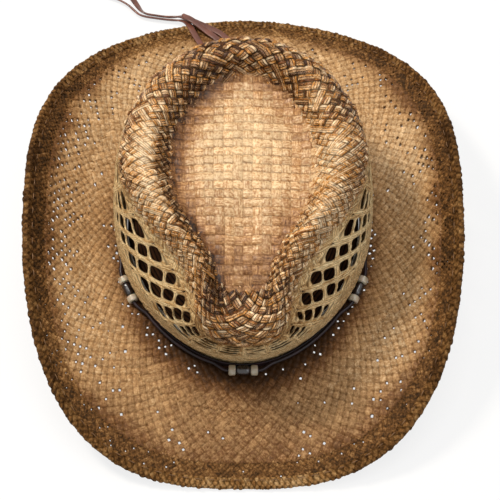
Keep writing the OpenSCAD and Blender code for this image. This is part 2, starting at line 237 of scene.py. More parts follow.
@dataclass(frozen=True)
class HatForm:
    """The shapes of crown and brim, with the same numbers as the part's source.

    A level counts the rings from the crown's foot at 0 to the middle of the dent at 8.
    """

    straw_t: float = 1.8
    vent_columns: int = 34
    vent_lean: float = 20.0
    vent_dip: float = 0.4
    edge: Ring = Ring(142.5, 184.5, 181.5, 3, 2.12, 0, 1.7, 68, 1.7)
    edge_dip: float = 2.6
    rings: tuple[Ring, ...] = (
        Ring(81.5, 105.5, 103, 1.95, 2.2, 0, 14.5, 26.5, 14.5),
        Ring(81.5, 105.5, 103, 1.95, 2.2, 0, 21, 33, 21),
        Ring(86, 108, 102, 1.95, 2.2, 0, 29.5, 42.5, 30.5),
        Ring(85.5, 111.5, 98.5, 2.1, 2.2, 0.1125, 52, 71, 66),
        Ring(81, 118, 88, 2, 2.1, 0.45, 78, 106, 109),
        Ring(63.5, 111, 69, 2, 2.1, 0.45, 86, 119, 124),
        Ring(45.5, 97, 57, 2, 2.1, 0.45, 85, 103, 108),
        Ring(23.5, 69, 29, 2, 2.1, 0.3, 94, 104, 106),
        Ring(0.001, 11, -11, 2, 2, 0, 105, 105, 105),
    )

    @property
    def foot(self) -> Ring:
        """The crown's foot."""
        return self.rings[0]

    def lean_at(self, a: Array, t: Array) -> Array:
        """Degrees by which the columns of vents turn, most beside the pinched front.

        Formula: lean * |sin a| * (0.45 up sin a + (up - 0.75 low) sin 2a), where up rises
        over levels 2.4 to 4 and low over levels 1.2 to 2.7.

        Args:
            a: angles.
            t: levels.

        Returns:
            The turns.
        """
        s, s2 = np.sin(np.radians(a)), np.sin(np.radians(2 * a))
        up, low = ease((t - 2.4) / 1.6), ease((t - 1.2) / 1.5)
        return self.vent_lean * np.abs(s) * (0.45 * up * s + (up - 0.75 * low) * s2)

    def dip_at(self, a: Array, t: Array) -> Array:
        """How many levels the vents lie lower near the front.

        Formula: vent_dip * cos(a)^6, faded in over levels 1.9 to 2.8 and out over 3.7 to 4.5.
        """
        near = np.maximum(0, np.cos(np.radians(a))) ** 6
        return self.vent_dip * near * ease((t - 1.9) / 0.9) * (1 - ease((t - 3.7) / 0.8))

    def crown(self, a: Array, t: Array) -> Array:
        """Middle of the crown's straw: a smooth surface through the rings.

        Args:
            a: angles, before they are turned by the vents' lean.
            t: levels, before they are lowered by the vents' dip.

        Returns:
            One point for each pair of angle and level.
        """
        last = len(self.rings) - 1
        t = np.clip(t, 0, last)
        b = a - self.lean_at(a, t)
        t = t - self.dip_at(a, t)
        i = np.minimum(np.floor(t).astype(int), last - 1)
        flat = np.stack([r.at(b) for r in self.rings]).reshape(last + 1, -1, 3)
        index = np.arange(b.size)
        p = [flat[np.clip(i + k, 0, last).ravel(), index] for k in (-1, 0, 1, 2)]
        f = (t - i).reshape(-1, 1)
        return through(*p, f).reshape(*b.shape, 3)

    def brim(self, a: Array, f: Array) -> Array:
        """Middle of the brim's straw.

        Formula: a straight line between the two rings seen from above, while the
        height rises with f to a power of 2.2 at the sides and 1.4 at the ends.

        Args:
            a: angles.
            f: share of the way from the head opening at 0 to the rim at 1.

        Returns:
            One point for each pair of angle and share.
        """
        p = self.foot.grown(-self.straw_t / 2).at(a)
        q = self.edge.at(a, self.edge_dip)
        f = np.asarray(f, float)[..., None]
        power = 2.2 - 0.8 * np.abs(np.cos(np.radians(a)))
        rise = np.maximum(f, 0) ** power[..., None]
        return p + (q - p) * np.concatenate([f, f, rise], axis=-1)

    def crown_from_plan(self, x: Array, y: Array) -> tuple[Array, Array]:
        """Angle and level of the points of the dented top above given places.

        Newton's method on the two unknowns, from an oval cone over the dent outwards.
        Each step is held short, so that no point leaves the dent.

        Args:
            x: places to the right, in millimetres.
            y: places to the back, in millimetres.

        Returns:
            Angles and levels.
        """
        a = np.degrees(np.arctan2(x, -(y + 11)))
        t = np.clip(8 - np.hypot(x / 24, (y + 18) / 48), 5.4, 7.9)
        step_a, step_t = 0.2, 0.01
        for _ in range(14):
            p = self.crown(a, t)
            da = (self.crown(a + step_a, t) - p) / step_a
            dt = (self.crown(a, t + step_t) - p) / step_t
            ex, ey = x - p[..., 0], y - p[..., 1]
            det = da[..., 0] * dt[..., 1] - da[..., 1] * dt[..., 0]
            det = np.where(np.abs(det) < 1e-6, 1e-6, det)
            a = a + np.clip((ex * dt[..., 1] - ey * dt[..., 0]) / det, -25, 25)
            t = t + np.clip((da[..., 0] * ey - da[..., 1] * ex) / det, -0.3, 0.3)
            t = np.clip(t, 5, 7.985)
        return a, t


FORM = HatForm()


# ---- meshes


def quads_of_grid(rows: int, columns: int, wrap_rows: bool, wrap_columns: bool) -> Array:
    """Faces of a grid's cells.

    Args:
        rows: number of rows of points.
        columns: number of points in a row.
        wrap_rows: whether the last row joins the first.
        wrap_columns: whether the last column joins the first.

    Returns:
        Four point numbers a face, row by row.
    """
    r = np.arange(rows if wrap_rows else rows - 1)
    c = np.arange(columns if wrap_columns else columns - 1)
    r, c = np.meshgrid(r, c, indexing="ij")
    r2, c2 = (r + 1) % rows, (c + 1) % columns
    corners = [r * columns + c, r * columns + c2, r2 * columns + c2, r2 * columns + c]
    return np.stack(corners, axis=-1).reshape(-1, 4)


def shell_faces(quads: Array, count: int) -> Array:
    """Closes a sheet into a shell: a second side, turned over, and walls at free edges.

    Args:
        quads: the sheet's faces.
        count: number of its points. The second side repeats them in the same order.

    Returns:
        Faces of the closed shell.
    """
    edges = np.stack([quads, np.roll(quads, -1, axis=1)], axis=-1).reshape(-1, 2)
    key = np.sort(edges, axis=1)
    code = key[:, 0].astype(np.int64) * (count + 1) + key[:, 1]
    _, inverse, uses = np.unique(code, return_inverse=True, return_counts=True)
    free = edges[uses[inverse.ravel()] == 1]
    walls = np.stack([free[:, 1], free[:, 0], free[:, 0] + count, free[:, 1] + count], axis=1)
    return np.vstack([quads, quads[:, ::-1] + count, walls])


def make_piece(
    name: str,
    points: Array,
    faces: Array,
    values: dict[str, Array] | None = None,
    uv: Array | None = None,
    caps: Sequence[Sequence[int]] = (),
) -> Object:
    """Puts computed points and four-sided faces into a new mesh object.

    Args:
        name: the piece's name.
        points: points in millimetres, one row each. Points without a face are left out.
        faces: four point numbers a row.
        values: point attributes by name.
        uv: two coordinates in millimetres for each point, along and across the straw.
        caps: further faces of any number of corners.

    Returns:
        The object, at the origin, with its place in its mesh.
    """
    used = np.zeros(len(points), bool)
    used[faces.ravel()] = True
    for cap in caps:
        used[list(cap)] = True
    renumber = np.cumsum(used) - 1
    loops = renumber[faces].ravel().tolist()
    sizes = [4] * len(faces)
    for cap in caps:
        loops += renumber[list(cap)].tolist()
        sizes.append(len(cap))
    mesh = bpy.data.meshes.new(name)
    mesh.vertices.add(int(used.sum()))
    mesh.vertices.foreach_set("co", (points[used] * MM).astype(np.float32).ravel())
    mesh.loops.add(len(loops))
    mesh.loops.foreach_set("vertex_index", np.array(loops, np.int32))
    mesh.polygons.add(len(sizes))
    starts = np.concatenate([[0], np.cumsum(sizes)[:-1]]).astype(np.int32)
    mesh.polygons.foreach_set("loop_start", starts)
    mesh.update(calc_edges=True)
    for key, value in (values or {}).items():
        layer = mesh.attributes.new(key, "FLOAT", "POINT")
        layer.data.foreach_set("value", np.asarray(value, np.float32)[used])
    if uv is not None:
        layer = mesh.uv_layers.new(name="straw_uv")
        pairs = (uv[used] * UV_PER_MM)[np.array(loops)]
        layer.data.foreach_set("uv", pairs.astype(np.float32).ravel())
    mesh.polygons.foreach_set("use_smooth", np.ones(len(sizes), bool))
    mesh.update()
    obj = bpy.data.objects.new(name, mesh)
    bpy.context.scene.collection.objects.link(obj)
    return obj


def make_shell(
    name: str, sides: tuple[Array, Array], quads: Array, values: dict[str, Array], uv: Array
) -> Object:
    """A closed shell of straw between two sides that share their values.

    Args:
        name: the piece's name.
        sides: points of the outer and of the inner side.
        quads: faces of the outer side.
        values: attributes of one side's points, by name.
        uv: two coordinates in millimetres for each of one side's points.

    Returns:
        The object, at the origin.
    """
    return make_piece(
        name,
        np.vstack([side.reshape(-1, 3) for side in sides]),
        shell_faces(quads, sides[0].size // 3),
        {key: np.concatenate([value.ravel()] * 2) for key, value in values.items()},
        np.vstack([uv.reshape(-1, 2)] * 2),
    )


def settle(
    obj: Object,
    finish: Material,
    slot: str,
    replaces: Sequence[str] = (),
    body: str = BODY,
) -> Object:
    """Dresses a piece, and tells the frame which body and nodes it belongs to.

    Args:
        obj: the piece.
        finish: its material.
        slot: not used.
        replaces: the CAD nodes that it stands for.
        body: the body that it moves with.

    Returns:
        The same piece.
    """
    obj.data.materials.clear()
    obj.data.materials.append(finish)
    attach(obj, body)
    if replaces:
        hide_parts(*replaces)
    LOG.info("%s: %d faces", obj.name, len(obj.data.polygons))
    return obj


# ---- materials


def linear(hex_colour: str) -> tuple[float, float, float, float]:
    """An sRGB hex colour as the linear RGBA that Blender's sockets take.

    Args:
        hex_colour: the colour, as #RRGGBB.

    Returns:
        Red, green, blue and an opaque alpha.
    """
    parts = [int(hex_colour.lstrip("#")[k : k + 2], 16) / 255 for k in (0, 2, 4)]
    red, green, blue = (c / 12.92 if c <= 0.04045 else ((c + 0.055) / 1.055) ** 2.4 for c in parts)
    return (red, green, blue, 1.0)


def add_node(
    tree: Tree, kind: str, inputs: dict[str | int, object] | None = None, **settings: object
) -> Node:
    """Adds a shader node, sets its properties, and sets or links its inputs.

    Args:
        tree: the material's or world's node tree.
        kind: the node's type name after ShaderNode, such as TexNoise.
        inputs: input name or number, with a value, a socket, or a node's first output.
        settings: property values by name.

    Returns:
        The new node.
    """
    node = tree.nodes.new(f"ShaderNode{kind}")
    for key, value in settings.items():
        setattr(node, key, value)
    for key, value in (inputs or {}).items():
        if isinstance(value, Node):
            value = value.outputs[0]
        if isinstance(value, Socket):
            tree.links.new(value, node.inputs[key])
        else:
            node.inputs[key].default_value = value
    return node


def fill_ramp(node: Node, stops: Sequence[tuple[float, str]]) -> None:
    """Gives a colour ramp its stops.

    Args:
        node: the ramp's node.
        stops: a place from 0 to 1 and a hex colour for each stop.
    """
    ramp = node.color_ramp
    while len(ramp.elements) > 1:
        ramp.elements.remove(ramp.elements[-1])
    for n, (place, colour) in enumerate(stops):
        stop = ramp.elements[0] if n == 0 else ramp.elements.new(place)
        stop.position = place
        stop.color = linear(colour)


def new_material(name: str, surface: Callable[[Tree], Node]) -> Material:
    """Makes a node material.

    Args:
        name: the material's name.
        surface: adds the nodes to a tree and returns the shader node of the surface.

    Returns:
        The material.
    """
    material = bpy.data.materials.new(name)
    material.use_nodes = True
    material.node_tree.nodes.clear()
    add_node(material.node_tree, "OutputMaterial", {"Surface": surface(material.node_tree)})
    return material


# width of one straw as a share of its strand's pitch, where three lie side by side
STRAW_PITCH = 0.315
# the straw's UV map counts tenths of a metre
UV_PER_MM = 10 * MM
# noise scales, per metre, of specks a millimetre and a half across and clouds of four
SPECK_SCALE, CLOUD_SCALE = 650.0, 250.0
# places of pale, golden, amber and burnt on the way from raw straw to toasted
TOAST_PLACES = (0.0, 0.3, 0.62, 1.0)


@dataclass(frozen=True)
class StrawFinish:
    """Raffia straw: woven dry, toasted with a flame, and sprayed with clear lacquer.

    The eye gets a satin strip with lengthwise fibres, each strip its own shade, darker
    where the flame went, with painted shade in the seams between the strips, in the grooves
    and in the hollows. The surface reads attributes for toasting with painted shade, tone,
    seam and pit, and for bundled straws strand and across. They go from method to method as marks:
    the outputs that read them, by name.
    """

    name: str
    pale: str
    golden: str
    # colour of the painted shade in seams, grooves and hollows
    pit: str
    amber: str = "#744A24"
    burnt: str = "#1B0F07"
    roughness: float = 0.5
    gloss: float = 0.1
    specular: float = 0.3
    # real fibres are a tenth of a millimetre wide: too fine to show, so they are drawn coarser
    fibre_mm: float = 0.8
    fibre_length: float = 7.0
    fibre_share: float = 0.5
    fibre_depth: float = 0.25
    speck_share: float = 0.35
    cloud_share: float = 0.16
    # strength and start of the seams' painted shade, and how much it fades on pale straw
    seam_share: float = 0.5
    seam_from: float = 0.41
    seam_by_toast_and_shade: float = 0.0
    straws: bool = False
    straw_tone: float = 0.0
    tone_low: float = 0.66
    tone_high: float = 1.2

    SEAM_WIDTH = 0.065
    GROOVE = (0.3, 0.45)
    ROUGH_SPREAD = 0.15

    def build(self) -> Material:
        """The node material."""
        return new_material(self.name, self.surface)

    def noise(self, tree: Tree, place: Node | Socket, scale: float) -> Node:
        """A noise of that scale over the place, as a value from 0 to 1."""
        inputs = {"Vector": place, "Scale": scale, "Detail": 2.0, "Roughness": 0.6}
        return add_node(tree, "TexNoise", inputs)

    def shade(self, tree: Tree, marks: dict[str, Socket], fibre: Node) -> Node:
        """How dark each spot is: toasting and painted shade from the attribute, with unevenness
        around it.

        Formula: burn plus each noise times its share, less half the sum of the shares.

        Args:
            tree: the material's node tree.
            marks: the outputs that read the attributes.
            fibre: the noise of the fibres.

        Returns:
            A value from 0 for raw straw to 1 for burnt straw, painted shade included.
        """
        spot = add_node(tree, "TexCoord").outputs["Object"]
        parts = [
            (fibre, self.fibre_share),
            (self.noise(tree, spot, SPECK_SCALE), self.speck_share),
            (self.noise(tree, spot, CLOUD_SCALE), self.cloud_share),
        ]
        middle = sum(share for _, share in parts) / 2
        if self.straws:
            parts.append((self.straw_chance(tree, marks), 1.0))
        total = marks["toast_and_shade"]
        for value, share in parts:
            inputs = {0: value, 1: share, 2: total}
            total = add_node(tree, "Math", inputs, operation="MULTIPLY_ADD")
        return add_node(tree, "Math", {0: total, 1: middle}, operation="SUBTRACT", use_clamp=True)

    def straw_count(self, tree: Tree, marks: dict[str, Socket]) -> Node:
        """The place across the strand counted in straws, whole at the straws' edges."""
        inputs = {0: marks["across"], 1: 1 / STRAW_PITCH, 2: 0.5}
        return add_node(tree, "Math", inputs, operation="MULTIPLY_ADD")

    def straw_chance(self, tree: Tree, marks: dict[str, Socket]) -> Node:
        """Each straw's own shade around 0, stronger where toasting and painted shade make it
        darker.

        Formula: (white noise of straw and strand - 0.5) * straw_tone * (0.3 + 1.7 burn).

        Args:
            tree: the material's node tree.
            marks: the outputs that read the attributes.

        Returns:
            The value to add to the burn.
        """
        whole = add_node(tree, "Math", {0: self.straw_count(tree, marks)}, operation="FLOOR")
        pair = add_node(tree, "CombineXYZ", {"X": whole, "Y": marks["strand"]})
        chance = add_node(tree, "TexWhiteNoise", {"Vector": pair}, noise_dimensions="2D")
        centred = add_node(tree, "Math", {0: chance, 1: 0.5}, operation="SUBTRACT")
        inputs = {0: marks["toast_and_shade"], 1: 1.7 * self.straw_tone, 2: 0.3 * self.straw_tone}
        share = add_node(tree, "Math", inputs, operation="MULTIPLY_ADD")
        return add_node(tree, "Math", {0: centred, 1: share}, operation="MULTIPLY")

    def seams(self, tree: Tree, marks: dict[str, Socket]) -> Node:
        """Share of painted shade: soft in hollows, crisp in seams, and in grooves between bundled
        straws.

        A groove lies where the place across the strand, counted in straws, is whole.

        Args:
            tree: the material's node tree.
            marks: the outputs that read the attributes.

        Returns:
            A value from 0 on the straws to 1 in the dark.
        """
        seam_end = self.seam_from + self.SEAM_WIDTH
        inputs = {"From Min": self.seam_from, "From Max": seam_end, "To Max": self.seam_share}
        crisp = add_node(tree, "MapRange", {"Value": marks["seam"], **inputs})
        total = add_node(tree, "Math", {0: marks["pit"], 1: crisp}, operation="MAXIMUM")
        if not self.straws:
            return total
        place = self.straw_count(tree, marks)
        for operation, number in (("FRACT", 0.0), ("SUBTRACT", 0.5), ("ABSOLUTE", 0.0)):
            place = add_node(tree, "Math", {0: place, 1: number}, operation=operation)
        low, high = self.GROOVE
        inputs = {"From Min": low, "From Max": high, "To Max": self.seam_share}
        groove = add_node(tree, "MapRange", {"Value": place, **inputs})
        both = add_node(tree, "Math", {0: total, 1: groove}, operation="MAXIMUM")
        # the seams' painted shade is fainter on pale stretches and full on dark ones
        inputs = {"Value": marks["toast_and_shade"], "From Max": 0.45, "To Min": 1 - self.seam_by_toast_and_shade}
        faint = add_node(tree, "MapRange", inputs)
        return add_node(tree, "Math", {0: both, 1: faint}, operation="MULTIPLY")

    def surface(self, tree: Tree) -> Node:
        """Adds the nodes: shade from the burn and tone attributes, fibres from the UV map.

        Args:
            tree: the material's empty node tree.

        Returns:
            The shader node.
        """
        names = ("toast_and_shade", "tone", "seam", "pit") + (("strand", "across") if self.straws else ())
        marks = {
            name: add_node(tree, "Attribute", attribute_name=name).outputs["Fac"] for name in names
        }
        place = add_node(tree, "UVMap", uv_map="straw_uv")
        # a fibre is narrow and long
        across = 1 / (self.fibre_mm * UV_PER_MM)
        inputs = {"Vector": place, "Scale": (across / self.fibre_length, across, 1.0)}
        fibre = self.noise(tree, add_node(tree, "Mapping", inputs), 1.0)
        ramp = add_node(tree, "ValToRGB", {"Fac": self.shade(tree, marks, fibre)})
        colours = (self.pale, self.golden, self.amber, self.burnt)
        fill_ramp(ramp, list(zip(TOAST_PLACES, colours)))
        inputs = {"Value": marks["tone"], "To Min": self.tone_low, "To Max": self.tone_high}
        lift = add_node(tree, "MapRange", inputs)
        inputs = {"Vector": ramp, "Scale": lift}
        toned = add_node(tree, "VectorMath", inputs, operation="SCALE")
        seams = self.seams(tree, marks)
        inputs = {"Factor": seams, "A": toned, "B": linear(self.pit)}
        deep = add_node(tree, "Mix", inputs, data_type="RGBA")
        # the straw shines, and the hollows between the strips don't
        shine, shimmer = (
            add_node(tree, "Math", {0: seams, 1: -amount, 2: amount}, operation="MULTIPLY_ADD")
            for amount in (self.gloss, self.specular)
        )
        inputs = {"Strength": 0.6, "Distance": self.fibre_depth * MM, "Height": fibre}
        bump = add_node(tree, "Bump", inputs)
        low, high = self.roughness - self.ROUGH_SPREAD, self.roughness + self.ROUGH_SPREAD
        rough = add_node(tree, "MapRange", {"Value": fibre, "To Min": low, "To Max": high})
        inputs = {
            "Base Color": deep.outputs["Result"],
            "Roughness": rough,
            "IOR": 1.5,
            "Specular IOR Level": shimmer,
            "Coat Weight": shine,
            "Coat Roughness": 0.26,
            "Normal": bump,
            "Coat Normal": bump,
        }
        return add_node(tree, "BsdfPrincipled", inputs)


@dataclass(frozen=True)
class SolidFinish:
    """A plain-coloured hard or leathery surface with its own grain.

    The eye gets one hue that clouds a little, and a grain of real size in the gloss.
    """

    name: str
    colour: str
    second: str
    roughness: float
    cloud_mm: float
    grain_mm: float
    grain_depth: float
    coat: float = 0.0
    metallic: float = 0.0
    subsurface: float = 0.0
    specular: float = 0.5
    # colour of painted shade in the hollows that the pit attribute marks
    hollows: str = ""

    CLOUD_PLACES = (0.34, 0.68)
    ROUGH_SPREAD = 0.1

    def build(self) -> Material:
        """The node material."""
        return new_material(self.name, self.surface)

    def surface(self, tree: Tree) -> Node:
        """Adds the nodes: two shades mixed by clouds, and a bump from the grain.

        Args:
            tree: the material's empty node tree.

        Returns:
            The shader node.
        """
        place = add_node(tree, "TexCoord").outputs["Object"]
        cloud, grain = (
            add_node(tree, "TexNoise", {"Vector": place, "Scale": 1 / size, "Detail": detail})
            for size, detail in ((self.cloud_mm * MM, 4.0), (self.grain_mm * MM, 2.0))
        )
        hue = add_node(tree, "ValToRGB", {"Fac": cloud})
        fill_ramp(hue, list(zip(self.CLOUD_PLACES, (self.colour, self.second))))
        # painted shade in the hollows
        if self.hollows:
            pit = add_node(tree, "Attribute", attribute_name="pit").outputs["Fac"]
            inputs = {"Factor": pit, "A": hue, "B": linear(self.hollows)}
            hue = add_node(tree, "Mix", inputs, data_type="RGBA").outputs["Result"]
        inputs = {"Strength": 0.6, "Distance": self.grain_depth * MM, "Height": grain}
        bump = add_node(tree, "Bump", inputs)
        low = max(0.05, self.roughness - self.ROUGH_SPREAD)
        high = min(1.0, self.roughness + self.ROUGH_SPREAD)
        rough = add_node(tree, "MapRange", {"Value": cloud, "To Min": low, "To Max": high})
        inputs = {
            "Base Color": hue,
            "Roughness": rough,
            "Metallic": self.metallic,
            "Specular IOR Level": self.specular,
            "Coat Weight": self.coat,
            "Coat Roughness": 0.15,
            "Subsurface Weight": self.subsurface,
            "Subsurface Scale": 2 * MM,
            "Normal": bump,
        }
        return add_node(tree, "BsdfPrincipled", inputs)


# ---- straw toasting and painted shade by place


def crown_toast_and_shade(a: Array, t: Array, p: Array) -> Array:
    """How toasted the crown is, with painted shade: pale foot and dent, dark ridge at the nose and
    the back.

    Formula: a bump over the ridge's levels, darkest at nose, back and both flanks; painted
    shade as a dark line on the dent's left wall; painted shade under the ridge; painted shade
    round the dent's floor and over its front end; and slow clouds, strongest on the ridge.

    Args:
        a: angles.
        t: levels.
        p: points, in millimetres.

    Returns:
        A share for each point, from 0 for raw straw to 1 for burnt straw, painted shade included.
    """
    x, y = p[..., 0], p[..., 1]
    turn = from_front(a)
    aside = np.abs(turn)
    left = np.clip(-x / 30, 0, 1)
    ridge = bell(t - 5.1, 0.9)
    flank = 0.3 * bell(aside - 38, 24) - 0.11 * bell(aside - 95, 36)
    toast = 0.06 + flank + 0.2 * bell(turn, 50) + 0.32 * bell(aside - 180, 50)
    # painted shade on the dent's left inner wall, which faces away from the key lamp
    line = (bell(t - 5.85, 0.32) + 0.8 * bell(t - 5.4, 0.22)) * left * bell(y + 5, 75)
    # painted shade under the ridge, strongest under the nose; the next line adds toasting on the
    # back half
    wall = 0.08 * bell(t - 4.2, 0.5) + 0.3 * bell(turn, 40) * bell(t - 3.85, 0.3)
    wall = wall + 0.22 * ease((aside - 70) / 30) * bell(t - 4.1, 0.8)
    # painted shade round the dent's floor, more on its left, so that its middle reads lit
    floor = (0.14 + 0.2 * left) * bell(t - 6.0, 0.6)
    # painted shade over the dent's front end
    front_end_shade = 0.34 * bell(y + 86, 46) * bell(t - 7.0, 1.5)
    cloud = waves(x * 0.05, y * 0.05, 3)
    shade = 0.1 + ridge * toast + 0.32 * line + wall + floor + front_end_shade
    return shade + 0.1 * cloud * (0.3 + ridge)


def brim_toast_and_shade(a: Array, f: Array, p: Array) -> Array:
    """How toasted the brim is, with painted shade: tan, with a dark edge and a painted shadow
    round the band.

    Formula: a smooth, wavering step up to the edge, darker at the sides; a bell by the
    head opening, strongest at the front, that is partly toasting and partly painted shadow of the
    crown; a broad painted shade over the front; and clouds.

    Args:
        a: angles.
        f: shares of the way from the head opening to the rim.
        p: points, in millimetres.

    Returns:
        A share for each point, from 0 for raw straw to 1 for burnt straw, painted shade included.
    """
    x, y = p[..., 0], p[..., 1]
    turn = from_front(a)
    edge = ease((f - 0.63 + 0.05 * waves(x * 0.09, y * 0.09, 6)) / 0.28)
    # painted shadow of the crown and band on the brim, partly toasting, strongest at the front
    band_shadow_and_toast = bell(f, 0.2) * (0.18 + 0.85 * bell(turn - 6, 72))
    # painted shade over the front of the brim, fading at the toasted edge
    front = 0.3 * bell(turn + 4, 42) * (0.5 + 0.7 * f) * (1 - 0.7 * edge)
    sides = np.sin(np.radians(turn)) ** 2
    cloud = waves(x * 0.03, y * 0.03, 5)
    return 0.24 + (0.34 + 0.2 * sides) * edge**1.3 + band_shadow_and_toast + front + 0.05 * cloud


def scattered(toast_and_shade: Array, chance: Array) -> Array:
    """Toasting and painted shade with each tile's own chance added, which tells more where they
    are darker.
    """
    return np.clip(toast_and_shade + chance * (0.1 + 1.5 * toast_and_shade), 0, 1.2)


class StrawPart(Enum):
    """The two straw shells. The value is the CAD node's name."""

    CROWN = "crown"
    BRIM = "brim"

    @property
    def surface(self) -> Surface:
        """Middle of the straw by angle and level."""
        return FORM.crown if self is StrawPart.CROWN else FORM.brim

    @property
    def toast_and_shade(self) -> ToastShadeMap:
        """How toasted the straw is, with painted shade, by angle, level and point."""
        return crown_toast_and_shade if self is StrawPart.CROWN else brim_toast_and_shade

    def normals(self, a: Array, t: Array, low: float = -np.inf) -> Array:
        """Outward normals from small differences of the surface.

        Args:
            a: angles.
            t: levels.
            low: lowest level that is looked at.

        Returns:
            Directions of length 1.
        """
        da = self.surface(a + 0.6, t) - self.surface(a - 0.6, t)
        dt = self.surface(a, t + 0.02) - self.surface(a, np.maximum(t - 0.02, low))
        return unit(np.cross(da, dt))

    def dress(self, obj: Object, finish: Material) -> Object:
        """Dresses one of this shell's pieces."""
        return settle(obj, finish, f"{self.value}_straw", (self.value,))


# ---- weaving


class StrandLines(Enum):
    """Grid lines across one strand, as places from 0 to 1 over its pitch."""

    SINGLE = (0.05, 0.30, 0.70, 0.95)
    TRIPLE = (0.04, 0.19, 0.34, 0.50, 0.66, 0.81, 0.96)


def tile_corners(sp: Array, sq: Array) -> Array:
    """1 at the corners of a weave's tiles, 0 away from them."""
    return ease((np.abs(sp) - 0.36) / 0.08) * ease((np.abs(sq) - 0.36) / 0.08)


@dataclass(frozen=True)
class Weave:
    """How the strands of one stretch of straw lie over and under each other."""

    name: str
    relief: float
    lines: StrandLines = StrandLines.SINGLE
    unevenness: float = 0.25
    loose_corners: float = 0.05
    hole_share: float = 0.0
    floats: float = 0.0
    flatness: float = 0.8
    tone_share: float = 0.5
    # strength of the painted shade where four tiles meet
    corner_share: float = 0.0
    seed: int = 1

    # share of the relief that the lowest strand keeps
    LOW = 0.12
    # pitch of a strand in its pattern, and how far the patterns of two strands lie apart
    PATTERN_MM = 5.0
    APART = 120

    def cells(self, big_p: Array, big_q: Array) -> tuple[Array, Array, Array, Array]:
        """The weave's cells at points of its lattice.

        Args:
            big_p: grid lines counted over the first family's strands.
            big_q: grid lines counted over the second family's strands.

        Returns:
            The strands' numbers in both families, and the places across them, from -0.5
            to 0.5.
        """
        places = np.array(self.lines.value) - 0.5
        k = len(places)
        return big_p // k, big_q // k, places[big_p % k], places[big_q % k]

    def over(self, i: Array, j: Array) -> Array:
        """True where the first family passes over: over and under, with a few missed."""
        missed = hashed(i, j, 0 * i + self.seed + 31) < self.floats
        return ((i + j) % 2 == 0) ^ missed

    def heights(self, i: Array, j: Array, sp: Array, sq: Array) -> dict[str, Array]:
        """Relief of both sides and the shading values in each cell of the weave.

        Formula: along the upper strand the height is a cosine arch that dips under the
        crossing strands at its ends; across it, it is flat with rounded sides, or three
        rounded straws. Corners fall further. Each strand has its own share of lift.

        Args:
            i: number of the strand of the first family.
            j: number of the strand of the second family.
            sp: place across the first family's strand, -0.5 to 0.5.
            sq: place across the second family's strand, -0.5 to 0.5.

        Returns:
            Arrays by name: top, under, tone (a little lighter on raised tiles: painted light),
            across (place across the upper strand), far (place along it), seam (distance from the
            tile's middle, 0.5 at its edge), pit (painted shade where four tiles meet) and strand
            (a random share for the strand).
        """
        over = self.over(i, j)
        w, s = np.where(over, sp, sq), np.where(over, sq, sp)
        ahead = np.where(s < 0, -1, 1)
        same = self.over(i + np.where(over, 0, ahead), j + np.where(over, ahead, 0)) == over
        strand = np.where(over, hashed(i, 0 * j + self.seed), hashed(j + 7919, 0 * i + self.seed))
        lift = 1 + self.unevenness * (2 * hashed(i, j, 0 * i + self.seed + 3) - 1)
        arch = np.cos(np.pi * np.clip(s, -0.5, 0.5)) ** self.flatness
        arch = np.where(same, 0.85 + 0.15 * arch, arch)
        if self.lines is StrandLines.TRIPLE:
            straw = np.clip(np.round(w / STRAW_PITCH), -1, 1)
            side = 1 - 0.75 * np.abs((w - straw * STRAW_PITCH) / 0.17) ** 2.5
            strand = 0.4 * strand + 0.6 * hashed(straw + 11, np.where(over, i, j + 977))
        else:
            side = 1 - 0.35 * np.abs(2 * w) ** 4
        corner = ease((np.abs(w) - 0.38) / 0.1) * ease((np.abs(s) - 0.38) / 0.1)
        top = self.relief * (self.LOW + (1 - self.LOW) * arch) * side * lift
        under_arch = np.cos(np.pi * np.clip(w, -0.5, 0.5)) ** 0.8
        under_side = 1 - 0.35 * np.abs(2 * s) ** 4
        along = np.where(same, np.minimum(np.abs(s), 0.3), np.abs(s))
        open_corner = ease((np.minimum(np.abs(w), along) - 0.2) / 0.2)
        loose = 0.4 + 0.6 * hashed(i, j, 0 * i + self.seed + 5)
        # raised tiles get a lighter tone, which is painted light; the pit is painted shade at the
        # tiles' open corners
        return {
            "top": top - 0.2 * self.relief * corner,
            "under": self.relief * (self.LOW + (1 - self.LOW) * under_arch) * under_side,
            "tone": np.clip(0.5 + self.tone_share * (strand - 0.5) + 0.25 * (lift - 1), 0, 1),
            "seam": np.maximum(np.abs(w), along) * (0.93 + 0.07 * loose),
            "pit": self.corner_share * open_corner * loose,
            "across": w,
            "far": s,
            "strand": strand,
        }

    def shell(
        self,
        cell: dict[str, Array],
        number: Array,
        sides: tuple[Array, Array],
        quads: Array,
        toast_and_shade: Array,
    ) -> Object:
        """Puts the woven stretch into the scene.

        Args:
            cell: what heights says of the lattice's points.
            number: sum of the strands' numbers, which sets the tiles' patterns apart.
            sides: the points of both sides, in millimetres.
            quads: faces of the outer side.
            toast_and_shade: how toasted each point is, painted shade included.

        Returns:
            The piece. Its UV map runs along and across the upper strand in each tile.
        """
        values = {key: cell[key] for key in ("tone", "strand", "seam", "pit", "across")}
        far = cell["far"] + cell["strand"] * self.APART
        uv = np.stack([far, cell["across"] + number], axis=-1) * self.PATTERN_MM
        return make_shell(self.name, sides, quads, {"toast_and_shade": toast_and_shade, **values}, uv)


def nose_width(a: Array) -> Array:
    """Levels by which the ridge's weave reaches further in at the nose: 0.6 cos(a)^3."""
    return 0.6 * np.maximum(0, np.cos(np.radians(a))) ** 3


